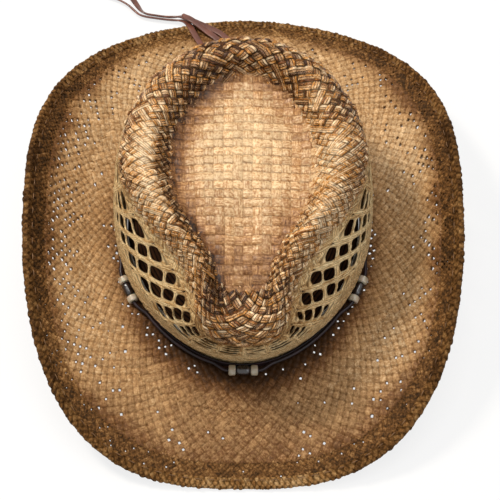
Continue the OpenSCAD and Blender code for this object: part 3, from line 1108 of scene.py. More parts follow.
@dataclass
class RingWeave:
    """A woven stretch that runs round the hat, its strands at 45 degrees to the ring.

    The lattice counts p - q outwards and p + q round. One step outwards is as long as
    one step round at that level, so the crossings stay square as they grow. Past the
    levels sink_from and sink_to the stretch dips under its neighbours.
    """

    weave: Weave
    part: StrawPart
    count: int
    low: float
    high: float
    variance: float
    thickness: float = 0.9
    raise_by: float = 0.0
    sink_from: float = 99.0
    sink_to: float = -99.0
    sink_depth: float = 0.9
    at_nose: bool = False
    crowding: float = 0.0
    waver: float = 0.05

    def spacing(self) -> tuple[Array, Array]:
        """How the lattice's outward count grows with the level.

        Returns:
            Levels, and the count at each: the integral of steps.
        """
        t = np.linspace(self.low, self.high, 160)
        grid = self.part.surface(*np.meshgrid(np.linspace(0, 360, 241), t))
        round_way = np.linalg.norm(np.diff(grid, axis=1), axis=2).sum(axis=1)
        out_way = np.linalg.norm(np.diff(grid, axis=0), axis=2).mean(axis=1)
        per_mm = self.count / ((round_way[1:] + round_way[:-1]) / 2)
        return t, np.concatenate([[0], np.cumsum(out_way * per_mm)])

    def evenly(self, turns: Array) -> Array:
        """Angles at which the strands stand equally far apart round the middle level.

        Formula: the length round the ring is weighted by 1 + crowding * sin(a)^2, so
        with crowding the strands stand closer at both sides than at nose and back.

        Args:
            turns: places round the ring, in whole turns.

        Returns:
            The angles.
        """
        a = np.linspace(0, 360, 721)
        ring = self.part.surface(a, np.full_like(a, (self.low + self.high) / 2))
        share = 1 + self.crowding * np.sin(np.radians(a[1:] + a[:-1]) / 2) ** 2
        along = np.cumsum(np.linalg.norm(np.diff(ring, axis=0), axis=1) * share)
        along = np.concatenate([[0], along])
        whole = np.floor(turns)
        return 360 * whole + np.interp(turns - whole, along / along[-1], a)

    def pinholes(self, i: Array, j: Array, level: Array) -> tuple[Array, Array]:
        """Where the strands stand apart round a pinhole.

        Formula: the chance is the larger of a bell near the rim, which grows towards the
        sides and is highest on the left, and a bell by the hatband on the front half.

        Args:
            i: number of the crossing's strand in the first family.
            j: its number in the second family.
            level: the crossing's level.

        Returns:
            True at crossings with a pinhole, and how far the strands stand apart there.
        """
        turn = np.pi * (i + j) / self.count
        sides, front, left = np.sin(turn) ** 2, np.cos(turn), np.sin(turn) < 0
        near_rim = (0.07 + bell(level - 0.76, 0.2)) * (0.1 + (0.6 + 0.6 * left) * sides)
        near_band = 1.5 * bell(level - 0.12, 0.04) * (0.4 + 0.6 * sides) * (front > 0)
        share = self.weave.hole_share * np.maximum(near_rim, near_band)
        chance, size = (hashed(i % self.count, j % self.count, i * 0 + key) for key in (5, 6))
        return chance < share, 0.2 + 0.12 * size + 0.17 * sides * (front < 0.3)

    def build(self, finish: Material) -> Object:
        """Computes the woven shell and puts it into the scene.

        Args:
            finish: the straw's material.

        Returns:
            The piece.
        """
        weave, n, k = self.weave, self.count, len(self.weave.lines.value)
        levels, steps = self.spacing()
        depth = np.arange(int(2 * steps[-1] * k))
        big_p, big_d = np.meshgrid(np.arange(k * n), depth, indexing="ij")
        i, j, sp, sq = weave.cells(big_p, big_p - big_d)
        cell = weave.heights(i % n, j % n, sp, sq)
        next_i, next_j = np.where(sp > 0, i + 1, i), np.where(sq > 0, j + 1, j)
        level = np.interp((next_i - next_j) / 2, steps, levels)
        hole, apart = self.pinholes(next_i, next_j, level)
        at_corner = (np.abs(sp) > 0.4) & (np.abs(sq) > 0.4)
        rounded = np.where(hole & at_corner, apart, weave.loose_corners * tile_corners(sp, sq))
        p = i + 0.5 + sp * (1 - rounded) + self.waver * waves(j * 0.7, i * 0.13, weave.seed)
        q = j + 0.5 + sq * (1 - rounded) + self.waver * waves(i * 0.7, j * 0.13, weave.seed + 1)
        a = self.evenly((p + q) / (2 * n))
        t = np.interp((p - q) / 2, steps, levels)
        place = t + nose_width(a) * ease(t - 5) if self.at_nose else t
        middle, normal = self.part.surface(a, place), self.part.normals(a, place, self.low)
        sunk = ease((t - self.sink_from) / 0.2) + ease((self.sink_to - t) / 0.1)
        base = self.raise_by - self.sink_depth * sunk
        top = middle + normal * (base + cell["top"])[..., None]
        under = middle + normal * (base - self.thickness - cell["under"] * 0.5)[..., None]
        row = np.arange(big_p.size).reshape(big_p.shape)
        ring = np.roll(row, -1, axis=0)
        quads = np.stack([row[:, 1:-1], ring[:, 2:], ring[:, 1:-1], row[:, :-2]], axis=-1)
        # the face between four strands is left out at a pinhole
        between = np.minimum(sp, sq) == sp.max()
        quads = quads[~(hole & between)[:, 1:-1]]
        tile = 0.35 * hashed(i % n, j % n, 0 * i + 77)
        strand = 0.65 * hashed(np.floor(cell["strand"] * 9973), i * 0)
        chance = self.variance * (tile + strand - 0.45)
        toast_and_shade = scattered(self.part.toast_and_shade(a, t, middle), chance)
        obj = weave.shell(cell, i + j, (top, under), quads, toast_and_shade)
        return self.part.dress(obj, finish)


@dataclass
class TipWeave:
    """The woven middle of the dented top, its strands square to the hat's length."""

    weave: Weave
    pitch: float = 6.1
    low: float = 5.55
    variance: float = 0.3
    thickness: float = 1.1
    raise_by: float = 0.05
    sink_depth: float = 0.9
    half_w: float = 62.0
    half_l: float = 92.0
    middle_y: float = -24.0
    fan: float = 0.0009
    waver: float = 0.06

    def build(self, finish: Material) -> Object:
        """Computes the woven disc: a square lattice laid on the dented top from above.

        At its rim the disc dips under the ridge's weave.

        Args:
            finish: the straw's material.

        Returns:
            The piece.
        """
        weave, k = self.weave, len(self.weave.lines.value)
        cols, rows = int(self.half_w / self.pitch) * k, int(self.half_l / self.pitch) * k
        big_p, big_q = np.meshgrid(np.arange(-cols, cols), np.arange(-rows, rows), indexing="ij")
        i, j, sp, sq = weave.cells(big_p, big_q)
        cell = weave.heights(i, j, sp, sq)
        shrink = 1 - weave.loose_corners * tile_corners(sp, sq)
        p = i + 0.5 + sp * shrink + self.waver * waves(j * 0.6, i * 0.1, 21)
        q = j + 0.5 + sq * shrink + self.waver * waves(i * 0.6, j * 0.1, 22)
        # strands fan out a little towards the back, where the top is wider
        x = p * self.pitch * (1 + self.fan * q * self.pitch)
        y = self.middle_y + q * self.pitch
        a, t = FORM.crown_from_plan(x, y)
        middle = FORM.crown(a, t)
        normal = unit(np.cross(np.gradient(middle, axis=0), np.gradient(middle, axis=1)))
        normal = np.where(normal[..., 2:] < 0, -normal, normal)
        inside = (t > self.low) & (np.hypot(middle[..., 0] - x, middle[..., 1] - y) < 0.3)
        out = ease((t - self.low - 0.03 - nose_width(a)) / 0.25)
        sunk = self.sink_depth * (1 - out)
        top = middle + normal * (self.raise_by - sunk + cell["top"] * out)[..., None]
        under = middle - normal * (self.thickness + sunk + cell["under"] * 0.5)[..., None]
        quads = quads_of_grid(*big_p.shape, False, False)
        quads = quads[inside.ravel()[quads].all(axis=1)][:, ::-1]
        chance = self.variance * (hashed(i, j, 0 * i + 77) - 0.45)
        # the seams' painted shade is finer across the hat; it and the corners' painted shade fade
        # where the disc dips
        cell["seam"] *= (0.8 + 0.2 * out) * np.where(np.abs(sp) > np.abs(sq), 0.95, 1)
        cell["pit"] *= out
        toast_and_shade = scattered(crown_toast_and_shade(a, t, middle), chance)
        obj = weave.shell(cell, i + j, (top, under), quads, toast_and_shade)
        return StrawPart.CROWN.dress(obj, finish)


@dataclass
class VentWall:
    """The open-worked band of the crown: rope-like bands and posts round the vents."""

    rows: int = 4
    first: float = 2.89
    pitch: float = 0.21
    gap: float = 0.155
    open_share: float = 0.66
    round_points: int = 32
    rings: int = 6
    bulge: float = 1.15
    thickness: float = 0.9
    corner_power: float = 3.4
    band_twist: float = 1.3
    post_twist: float = 1.6

    def cell(self) -> tuple[Array, Array, Array]:
        """Points of one vent's cell, in rings from its opening to the cell's rim.

        Formula: the opening is a superellipse, the rim is a square, and points blend
        between them.

        Returns:
            Places across and up, from -1 to 1, and the rings' shares from 0 to 1.
        """
        phi = 2 * np.pi * (np.arange(self.round_points) + 0.5) / self.round_points
        cos, sin = np.cos(phi), np.sin(phi)
        box = 1 / np.maximum(np.abs(cos), np.abs(sin))
        power = 2 / self.corner_power
        open_x = self.open_share * np.sign(cos) * np.abs(cos) ** power
        open_y = self.gap / self.pitch * 1.12 * np.sign(sin) * np.abs(sin) ** power
        rho = np.linspace(0, 1, self.rings + 1) ** 0.8
        x = open_x + (cos * box - open_x) * rho[:, None]
        return x, open_y + (sin * box - open_y) * rho[:, None], rho

    def place(self, cx: Array, cr: Array, x: Array, y: Array, rim: Array) -> tuple[Array, Array]:
        """Angle and level of the cells' points.

        Each vent has its own shift, size and slant, more of them at the front. A vent
        lies one row lower on the side towards the front. The outer rows reach a little
        further, under the weaves above and below.

        Args:
            cx: column of the vent.
            cr: row of the vent.
            x: place across its cell, from -1 to 1.
            y: place up its cell, from -1 to 1.
            rim: 0 at the opening and 1 at the cell's rim.

        Returns:
            Angles and levels.
        """
        free = 1 - rim
        front = self.frontness(cx)
        shift = (0.16 + 0.3 * front) * (hashed(cx, cr) - 0.5) + 0.4 * front * (cr % 2 - 0.5)
        shift = shift * free
        size = (0.2 + 0.5 * front) * (hashed(cx, cr + 40) - 0.5) - 0.2 * front
        size = 1 + size * free
        slant = 0.14 * (hashed(cx, cr + 80) - 0.3) * y * free
        a = (cx + 0.5 + (x * size + shift + slant) / 2) * 360 / FORM.vent_columns
        upper = np.where(cr == self.rows - 1, ease((y - 0.8) / 0.2), 0)
        end = upper - np.where(cr == 0, ease((-y - 0.8) / 0.2), 0)
        across = x * np.clip((1 - np.abs(x)) / (1 - self.open_share), 0, 1)
        side = np.clip(2 * np.sin(np.radians(a)), -1, 1)
        row = cr + (y * size - shift / 2 + across * side * (1 - np.abs(end))) / 2
        return a, self.first + self.gap / 2 + row * self.pitch + 0.1 * end

    def frontness(self, cx: Array) -> Array:
        """1 for the columns of vents at the front, fading out towards the sides."""
        return bell(from_front((cx + 0.5) * 360 / FORM.vent_columns), 34)

    def build(self, finish: Material) -> Object:
        """Computes the openwork as rings of points from each opening to its cell's rim.

        Formula: height is a half circle from the opening to the middle of the strand,
        with slanting grooves of the twist.

        Args:
            finish: the straw's material.

        Returns:
            The piece.
        """
        n, m = FORM.vent_columns, self.round_points
        x, y, rho = self.cell()
        cx, cr, x = np.meshgrid(np.arange(n), np.arange(self.rows), x.ravel(), indexing="ij")
        y = np.broadcast_to(y.ravel(), x.shape)
        rim = np.broadcast_to(np.repeat(rho, m), x.shape)
        a, t = self.place(cx, cr, x, y, rim)
        middle = FORM.crown(a, t)
        normal = StrawPart.CROWN.normals(a, t)
        from_band = (np.abs(x) - 1) * np.sign(x)
        from_post = (np.abs(y) - 1) * np.sign(y)
        level, column = cr + y / 2, cx + x / 2
        on_band = ease((np.abs(x) - 0.55) / 0.3)
        banded = on_band > 0.5
        lay = level * 2 + from_band * self.band_twist
        twist = np.cos(2 * np.pi * (lay + 0.3 * cx))
        cross_twist = np.cos(2 * np.pi * (column * 3 + from_post * self.post_twist))
        groove = on_band * twist + (1 - on_band) * cross_twist
        half_round = np.sqrt(np.clip(1 - (1 - rim) ** 2, 0, 1))
        high = self.bulge * half_round * (0.82 + 0.18 * groove) - 0.45
        low = self.thickness * half_round + 0.15
        sides = middle + normal * high[..., None], middle - normal * low[..., None]
        # points on the rims of neighbouring cells are one point
        keys = np.stack([np.round(a % 360, 3) % 360, np.round(t, 4)], axis=-1).reshape(-1, 2)
        own = rim.ravel() <= 0.999
        keys[own, 0] = -1 - np.arange(own.sum())
        _, first_of, same = np.unique(keys, axis=0, return_index=True, return_inverse=True)
        ring = quads_of_grid(self.rings + 1, m, False, True)
        start = (np.arange(n * self.rows) * (self.rings + 1) * m)[:, None, None]
        quads = first_of[same.ravel()][(ring[None] + start).reshape(-1, 4)]
        shade = hashed(cx, np.floor(lay))
        toast_and_shade = crown_toast_and_shade(a, t, middle)
        # painted shade in the vents: the pit is darkest by each opening, more at the front columns
        # and in the twist's grooves; the tone below is lighter on the twist's raised strands,
        # which is painted light
        pit = 0.5 + 0.7 * self.frontness(cx) - half_round * 1.1 + 0.15 * (groove < -0.6)
        values = {
            "toast_and_shade": np.clip(toast_and_shade + 0.22 * (shade - 0.5), 0, 1),
            "tone": np.clip(0.6 + 0.25 * (shade - 0.5) + 0.12 * groove, 0, 1),
            "pit": np.clip(pit, 0, 1),
            "across": np.where(banded, from_band * 1.9, from_post * 1.5),
            "strand": np.where(banded, hashed(np.floor(column + 0.5) + 3), shade),
        }
        along = np.where(banded, level * 10.5, column * 17)
        wide = np.where(banded, from_band * 8.8, from_post * 5.2)
        uv = np.stack([along, wide + cx * 7], axis=-1)
        obj = make_shell("crown_vent_bands", sides, quads, values, uv)
        return StrawPart.CROWN.dress(obj, finish)


# ---- sweeps


def solid_volume(points: Array, faces: Array) -> float:
    """Signed volume of a closed set of four-sided faces.

    Args:
        points: points, one row each.
        faces: four point numbers a row.

    Returns:
        The volume, positive if the faces face out.
    """
    centre = points.mean(axis=0)
    a, b, c, d = (points[faces[:, k]] - centre for k in range(4))
    return float((a * np.cross(b, c)).sum() + (a * np.cross(c, d)).sum()) / 6


def swept(
    name: str,
    sections: Array,
    closed: bool = True,
    values: dict[str, Array] | None = None,
    uv: Array | None = None,
) -> Object:
    """A body through a row of closed sections, capped at both ends if it is open.

    Args:
        name: the piece's name.
        sections: points, one row for each section.
        closed: whether the last section joins the first.
        values: point attributes by name.
        uv: two coordinates in millimetres for each point.

    Returns:
        The object, its faces outwards.
    """
    n, m = sections.shape[:2]
    faces = quads_of_grid(n, m, closed, True)
    caps = () if closed else (list(range(m)), list(range(n * m - 1, (n - 1) * m - 1, -1)))
    points = sections.reshape(-1, 3)
    if solid_volume(points, faces) < 0:
        faces = faces[:, ::-1]
        caps = tuple(cap[::-1] for cap in caps)
    return make_piece(name, points, faces, values, uv, caps)


def frames_along(
    path: Array, closed: bool = True, pole: Array = UP, turn: Array | float = 0.0
) -> tuple[Array, Array]:
    """Sideways and upward directions at each point of a path.

    Args:
        path: points, one row each.
        closed: whether the last point joins the first.
        pole: what sideways is square to before the turn.
        turn: angle by which both are turned about the path, in radians.

    Returns:
        The two directions, one row for each point.
    """
    if closed:
        along = unit(np.roll(path, -1, axis=0) - np.roll(path, 1, axis=0))
    else:
        along = unit(np.gradient(path, axis=0))
    level = unit(np.cross(along, pole))
    side = level * np.cos(turn) + np.cross(level, along) * np.sin(turn)
    return side, np.cross(side, along)


def carry(section: Array, path: Array, side: Array, up: Array) -> Array:
    """A flat section at each point of a path: path + section's x * side + its y * up."""
    sideways = side[..., None, :] * section[..., :1]
    return path[:, None] + sideways + up[..., None, :] * section[..., 1:]


def oblong(width: float, height: float, points: int, power: float = 2.0) -> Array:
    """A superellipse: round at power 2, a rounded oblong above it.

    Args:
        width: its width.
        height: its height.
        points: number of its points.
        power: the superellipse's power.

    Returns:
        Flat points, one row each.
    """
    v = 2 * np.pi * np.arange(points) / points
    c, s = np.cos(v), np.sin(v)
    x = np.sign(c) * np.abs(c) ** (2 / power) * width / 2
    y = np.sign(s) * np.abs(s) ** (2 / power) * height / 2
    return np.stack([x, y], axis=1)


# ---- brim edge


def at_rim(a: Array, step: float) -> tuple[Array, Array, Array, Array]:
    """The brim's rim and the directions there, from small differences of the surface.

    Args:
        a: angles.
        step: half the difference of angle, in degrees.

    Returns:
        Points of the rim, and the directions outwards, along the rim and up.
    """
    one = np.ones_like(a)
    rim = FORM.brim(a, one)
    out = unit(rim - FORM.brim(a, one * 0.96))
    along = unit(FORM.brim(a + step, one) - FORM.brim(a - step, one))
    up = np.cross(out, along)
    return rim, out, along, np.where(up[:, 2:] < 0, -up, up)


@dataclass
class EdgeBraid:
    """The straw braid folded over the brim's edge and whipped down."""

    strands: int = 250
    steps: int = 1850
    around: int = 26
    width: float = 8.0
    reach: float = 2.5
    half_h: float = 2.0
    nose: float = 1.6
    nose_at: float = 1.9
    slant: float = 2.2
    waver: float = 0.25
    under: float = 0.35
    thickness: float = 0.75

    # painted shade on the fold's inner side, which only shows between rolls
    INNER = {"toast_and_shade": 0.8, "tone": 0.3, "pit": 0.6}
    # lowest heights of both sides over the table, on which the brim's ends stand
    LOWEST = (0.02, 0.3)

    def section(self) -> Array:
        """Middle line of the fold as [outwards, up]: flat sides and a round nose.

        Formula: half a turn of a sine and a cosine over the middle 40 per cent, then
        straight inwards on both sides, which come closer towards their ends.

        Returns:
            Flat points, one row each.
        """
        s = np.linspace(0, 1, self.around)
        bend = ease((s - 0.3) / 0.4) * np.pi
        inwards = np.maximum(0, np.abs(s - 0.5) - 0.2) / 0.3
        flat = self.width - self.nose - 1.0
        x = self.reach - self.nose_at + self.nose * np.sin(bend) - flat * inwards
        thin = 1 - 0.45 * ease(np.abs(2 * s - 1) / 0.8 - 0.25)
        return np.stack([x, self.half_h * np.cos(bend) * thin], axis=1)

    def build(self, finish: Material) -> Object:
        """Computes the braid: slanting rolls of straw round the fold, of uneven height.

        Formula: two families of rolls slant in opposite ways, each the size of a sine,
        and take turns to lie on top as the squares of a chequer do.

        Args:
            finish: the straw's material.

        Returns:
            The piece.
        """
        a = np.arange(self.steps) * 360 / self.steps
        rim, out, _, up = at_rim(a, 1)
        up = unit(up)
        fold = self.section()
        tangent = unit(np.gradient(fold, axis=0))
        normal = np.stack([-tangent[:, 1], tangent[:, 0]], axis=1)
        inwards = (normal * (fold + [3, 0])).sum(axis=1, keepdims=True) < 0
        normal = np.where(inwards, -normal, normal)
        s = np.linspace(0, 1, self.around)[None, :]
        turn = a[:, None] / 360 * self.strands
        roll = turn + self.slant * s + self.waver * waves(turn * 0.4, s * 5, 31)
        other = turn - self.slant * s + self.waver * waves(turn * 0.5, s * 4, 32)
        first, second = np.abs(np.sin(np.pi * roll)), np.abs(np.sin(np.pi * other))
        first_on_top = (np.floor(roll) + np.floor(other)) % 2 == 0
        over, below = np.where(first_on_top, (first, second), (second, first))
        height = (over + self.under * below) / (1 + self.under)
        number = np.where(first_on_top, np.floor(roll), np.floor(other) + 1000)
        lift = hashed(number % 577, np.floor(s * 3) + 0 * turn)
        high = (0.15 + 0.85 * height**0.7) * (0.5 + 0.9 * lift) - 0.35
        outer = carry(fold + normal * high[..., None], rim, out, up)
        inner = carry(fold - normal * self.thickness, rim, out, up)
        for side, lowest in zip((outer, inner), self.LOWEST):
            side[..., 2] = np.maximum(side[..., 2], lowest)
        sides = np.sin(np.radians(a[:, None])) ** 2
        cloud = waves(outer[..., 0] * 0.05, outer[..., 1] * 0.05, 8)
        # painted light and shade on the rolls: the tone is lighter on high rolls and the pit
        # darkens the hollows between them
        values = {
            "toast_and_shade": 0.48 + 0.28 * sides + 0.5 * (lift - 0.5) + 0.12 * cloud,
            "tone": np.clip(0.15 + 0.9 * lift * height, 0, 1),
            "pit": np.clip(0.95 - 1.15 * height, 0, 1),
        }
        values = {
            key: np.hstack([value, np.full_like(value, self.INNER[key])]).ravel()
            for key, value in values.items()
        }
        uv = np.stack([roll * 5 + number * 3, other * 5], axis=-1)
        uv = np.concatenate([uv, uv[:, ::-1]], axis=1).reshape(-1, 2)
        sections = np.concatenate([outer, inner[:, ::-1]], axis=1)
        obj = swept("brim_edge_braid", sections, True, values, uv)
        return settle(obj, finish, "hem_straw", ("brim_edge_hem",))


# ---- hatband


@dataclass(frozen=True)
class BandLayout:
    """Where the laces and the beads of the hatband run, as in the part's source."""

    lace_t: float = 1.5
    flat_h: float = 4.6
    flat_up: float = 1.4
    round_d: float = 2.4
    bone_d: float = 7.0
    bone_l: float = 4.8
    barrel_d: float = 6.5
    barrel_l: float = 9.0
    bore: float = 3.6
    gap: float = 0.4
    chord_cut: float = 0.7
    lace_ease: float = 7.0
    trios: tuple[float, ...] = (0.0, 60.0, 300.0)

    @property
    def flat_out(self) -> float:
        """Outer face of the flat lace, from the middle of the straw."""
        return FORM.straw_t / 2 + 0.3 + self.lace_t

    def ring(self, out: float) -> Ring:
        """The foot's ring at the bead lace's level, that far outside the flat lace."""
        up = FORM.straw_t / 2 + self.bone_d / 2 + 1.3
        return FORM.foot.grown(self.flat_out + 0.35 + out, up)

    @property
    def bead_ring(self) -> Ring:
        """The round lace's line through the beads."""
        return self.ring(self.bone_d / 2 + self.chord_cut)

    def reach(self, a: float) -> float:
        """Half the straight stretch that a trio sits on.

        Args:
            a: angle of the trio.

        Returns:
            Degrees from its middle to both ends.
        """
        around = self.bead_ring.at(np.array([a - 1, a + 1]))
        half = self.barrel_l / 2 + self.gap + self.bone_l + 1
        return half * 2 / np.linalg.norm(around[1] - around[0])

    def trio_ends(self, a: float) -> Array:
        """Both ends of the straight stretch of lace that carries a trio."""
        return self.bead_ring.at(a + self.reach(a) * np.array([-1, 1]))

    def bead_lace(self, a: Array) -> Array:
        """Middle line of the round lace: straight at the trios, else close to the crown.

        Args:
            a: angles.

        Returns:
            One point for each angle.
        """
        close, far = self.ring(self.round_d / 2).at(a), self.bead_ring.at(a)
        path = close
        for trio in self.trios:
            reach = self.reach(trio)
            off = from_front(a - trio)[:, None]
            share = ease((np.abs(off) - reach) / self.lace_ease)
            eased = far * (1 - share) + close * share
            low, high = self.trio_ends(trio)
            straight = low + (high - low) * (off / reach + 1) / 2
            held = np.where(np.abs(off) <= reach, straight, eased)
            path = np.where(np.abs(off) <= reach + self.lace_ease, held, path)
        return path


LAYOUT = BandLayout()


@dataclass(frozen=True)
class BeadShape:
    """A turned bead: its size, how far and how late its ends round off, and its facets."""

    slot: str
    length: float
    width: float
    fall: float
    power: int
    facet: float = 0.0


class Bead(Enum):
    """The two kinds of bead."""

    BONE = BeadShape("bone", LAYOUT.bone_l, LAYOUT.bone_d, 0.30, 9, 0.025)
    BARREL = BeadShape("barrel", LAYOUT.barrel_l, LAYOUT.barrel_d, 0.36, 5)


@dataclass
class Hatband:
    """The laces round the crown's foot, their knot and the bead trios."""

    layout: BandLayout = LAYOUT
    steps: int = 540
    knot_at: float = 176.0
    knot_size: tuple[float, float, float] = (1.55, 1.25, 1.15)

    def flat_lace(self, leather: Material) -> Object:
        """The flat lace: a rounded oblong carried round the crown's foot.

        Args:
            leather: its material.

        Returns:
            The piece.
        """
        lay = self.layout
        a = np.arange(self.steps) * 360 / self.steps
        ring = FORM.foot.grown(lay.flat_out - lay.lace_t / 2, lay.flat_up + lay.flat_h / 2)
        path = ring.at(a)
        path[:, 2] += 0.12 * waves(a * 0.08, a * 0, 41)
        side, _ = frames_along(path)
        sections = carry(oblong(lay.lace_t, lay.flat_h, 18, 5), path, side, UP)
        obj = swept("hatband_flat_lace_leather", sections)
        return settle(obj, leather, "lace_leather", ("hatband_flat_lace",))

    def bead_lace(self, leather: Material) -> Object:
        """The round lace that carries the beads.

        Args:
            leather: its material.

        Returns:
            The piece.
        """
        path = self.layout.bead_lace(np.arange(self.steps) * 360 / self.steps)
        width = self.layout.round_d
        sections = carry(oblong(width, width, 12), path, *frames_along(path))
        obj = swept("hatband_bead_lace_leather", sections)
        return settle(obj, leather, "lace_leather", ("hatband_bead_lace",))

    def knot(self, leather: Material) -> Object:
        """The overhand knot at the back: lace along a flattened trefoil.

        Formula: x = sin v + 2 sin 2v, y = -sin 3v, z = cos v - 2 cos 2v, times its size.

        Args:
            leather: its material.

        Returns:
            The piece.
        """
        middle = FORM.foot.grown(6.4, 6.2).at(np.array([self.knot_at]))
        v = np.linspace(0, 2 * np.pi, 160, endpoint=False)
        x, y = np.sin(v) + 2 * np.sin(2 * v), -np.sin(3 * v)
        trefoil = np.stack([x, y, np.cos(v) - 2 * np.cos(2 * v)], axis=1)
        path = middle + trefoil * self.knot_size
        frames = frames_along(path, pole=np.array([0.0, 1.0, 0.0]))
        obj = swept("back_knot_lace", carry(oblong(2.6, 1.9, 12, 2.6), path, *frames))
        return settle(obj, leather, "lace_leather", ("back_knot",))

    def bead(self, node: str, a: float, side: int, kind: Bead, finish: Material) -> Object:
        """One bead: a closed profile turned about the lace's line.

        Formula: the profile runs up the end face, along a slightly bellied outside,
        down the other end and back through the bore.

        Args:
            node: the bead's CAD node.
            a: angle of its trio.
            side: its place in the trio: -1, 0 or 1.
            kind: which bead it is.
            finish: its material.

        Returns:
            The piece.
        """
        lay, shape = self.layout, kind.value
        half, radius, bore = shape.length / 2, shape.width / 2, lay.bore / 2
        low, high = lay.trio_ends(a)
        along = unit(high - low)
        away = side * (lay.barrel_l / 2 + lay.gap + lay.bone_l / 2)
        s = np.linspace(-1, 1, 21)
        belly = radius * (1 - shape.fall * np.abs(s) ** shape.power)
        face = np.array([[half, bore + 0.25], [half, radius * 0.55]])
        profile = np.vstack(
            [
                face * [-1, 1],
                np.stack([s * half * 0.985, belly], axis=1),
                face[::-1],
                [[half - 0.3, bore], [0, bore], [0.3 - half, bore]],
            ]
        )
        turn = 2 * np.pi * np.arange(40) / 40
        across = unit(np.cross(along, UP))
        up = np.cross(across, along)
        radial = across * np.cos(turn)[:, None] + up * np.sin(turn)[:, None]
        radial *= ((1 + shape.facet * np.cos(5 * turn)) / (1 + shape.facet))[:, None]
        middle = (low + high) / 2 + along * away
        sections = middle + along * profile[:, :1] + radial[:, None] * profile[:, 1:]
        obj = swept(f"{node}_turned", sections)
        return settle(obj, finish, shape.slot, (node,), f"{node}_body")


# ---- lace tails


class TailRoute(Enum):
    """Route points of the free lace tails, in millimetres, as in the part's source.

    The fourth value turns the lace about its own line, in degrees.
    """

    LONG = (
        (-9, 111, 17.5, 0), (-10.5, 118, 15.9, 0), (-15, 127, 14.9, 0), (-21, 137, 13.5, 0),
        (-27, 148, 11.7, 0), (-32, 158, 10.1, 0), (-36.5, 167.5, 9.2, 0), (-39.5, 174.5, 8.5, 0),
        (-42.5, 180, 6.6, -10), (-46, 183.2, 4.2, -35), (-51, 184.6, 2.7, -60),
        (-58, 185.4, 2.5, -60), (-66, 186.7, 2.5, -60), (-73, 188, 2.5, -60),
        (-78, 190, 2.5, -60), (-82, 193.8, 2.5, -60), (-86, 198.2, 2.5, -60),
        (-91, 202, 2.5, -60), (-98, 206, 2.3, -50), (-107, 210, 1.6, -25), (-118, 213, 1, 0),
        (-130, 215, 1, 0),
    )
    MIDDLE = (
        (-3.5, 112, 17.5, 0), (-3, 120, 15.4, 0), (-4, 130, 14.1, 0), (-6, 141, 12.4, 0),
        (-8, 152, 10.5, 0), (-11, 161, 8.9, 0), (-17, 168.5, 7.9, 0), (-25, 173.5, 7.9, 0),
        (-33, 176.8, 9.2, 0), (-38.5, 179.2, 9.9, 0), (-43, 182.8, 8.2, -10),
        (-47, 185.6, 5.9, -35), (-51.5, 186.6, 4.1, -60), (-58, 187.1, 3.6, -60),
        (-66, 188.4, 3.6, -60), (-72.5, 189.9, 3.5, -60), (-76.8, 193.2, 3, -50),
        (-80, 198.6, 2.3, -30), (-83.5, 205, 1.6, -15), (-88, 212.5, 1, 0), (-95, 219.5, 1, 0),
        (-104, 225, 1, 0),
    )
    SHORT = (
        (-6, 112, 20.5, 0), (-7, 120, 17.9, 0), (-9.5, 130, 14.6, 0), (-11.5, 141, 12.6, 0),
        (-14.5, 152, 11.1, 0), (-19.5, 162, 9.8, 0), (-27, 169, 9.7, 0), (-33.5, 173.8, 11.6, 0),
        (-38.5, 177.7, 12.5, 0), (-42.5, 181.6, 10.9, 0), (-45, 185, 9, 0),
    )


@dataclass
class LaceTails:
    """The free ends of the laces: flat leather cut from one hide."""

    width: float = 4.4
    thick: float = 1.5
    taper_l: float = 6.0

    def build(self, leather: Material) -> list[Object]:
        """Args:
            leather: the tails' material.

        Returns:
            The tails.
        """
        made = []
        for route in TailRoute:
            run = smooth_path(route.value, 1.5)
            path = run[:, :3]
            length = float(np.linalg.norm(np.diff(path, axis=0), axis=1).sum())
            # the cut end narrows to a blunt point over the last few millimetres
            left = np.linspace(1, 0, len(path)) * length / self.taper_l
            narrow = 0.55 + 0.45 * np.minimum(left, 1)
            size = np.stack([narrow, np.ones_like(narrow)], axis=1)[:, None]
            frames = frames_along(path, False, turn=np.radians(run[:, 3:]))
            sections = carry(oblong(self.width, self.thick, 16, 4.5) * size, path, *frames)
            node = f"lace_tail_{route.name.lower()}"
            obj = swept(f"{node}_leather", sections, False)
            settle(obj, leather, "tail_leather", (node,))
            made.append(obj)
        return made


# ---- inside the crown


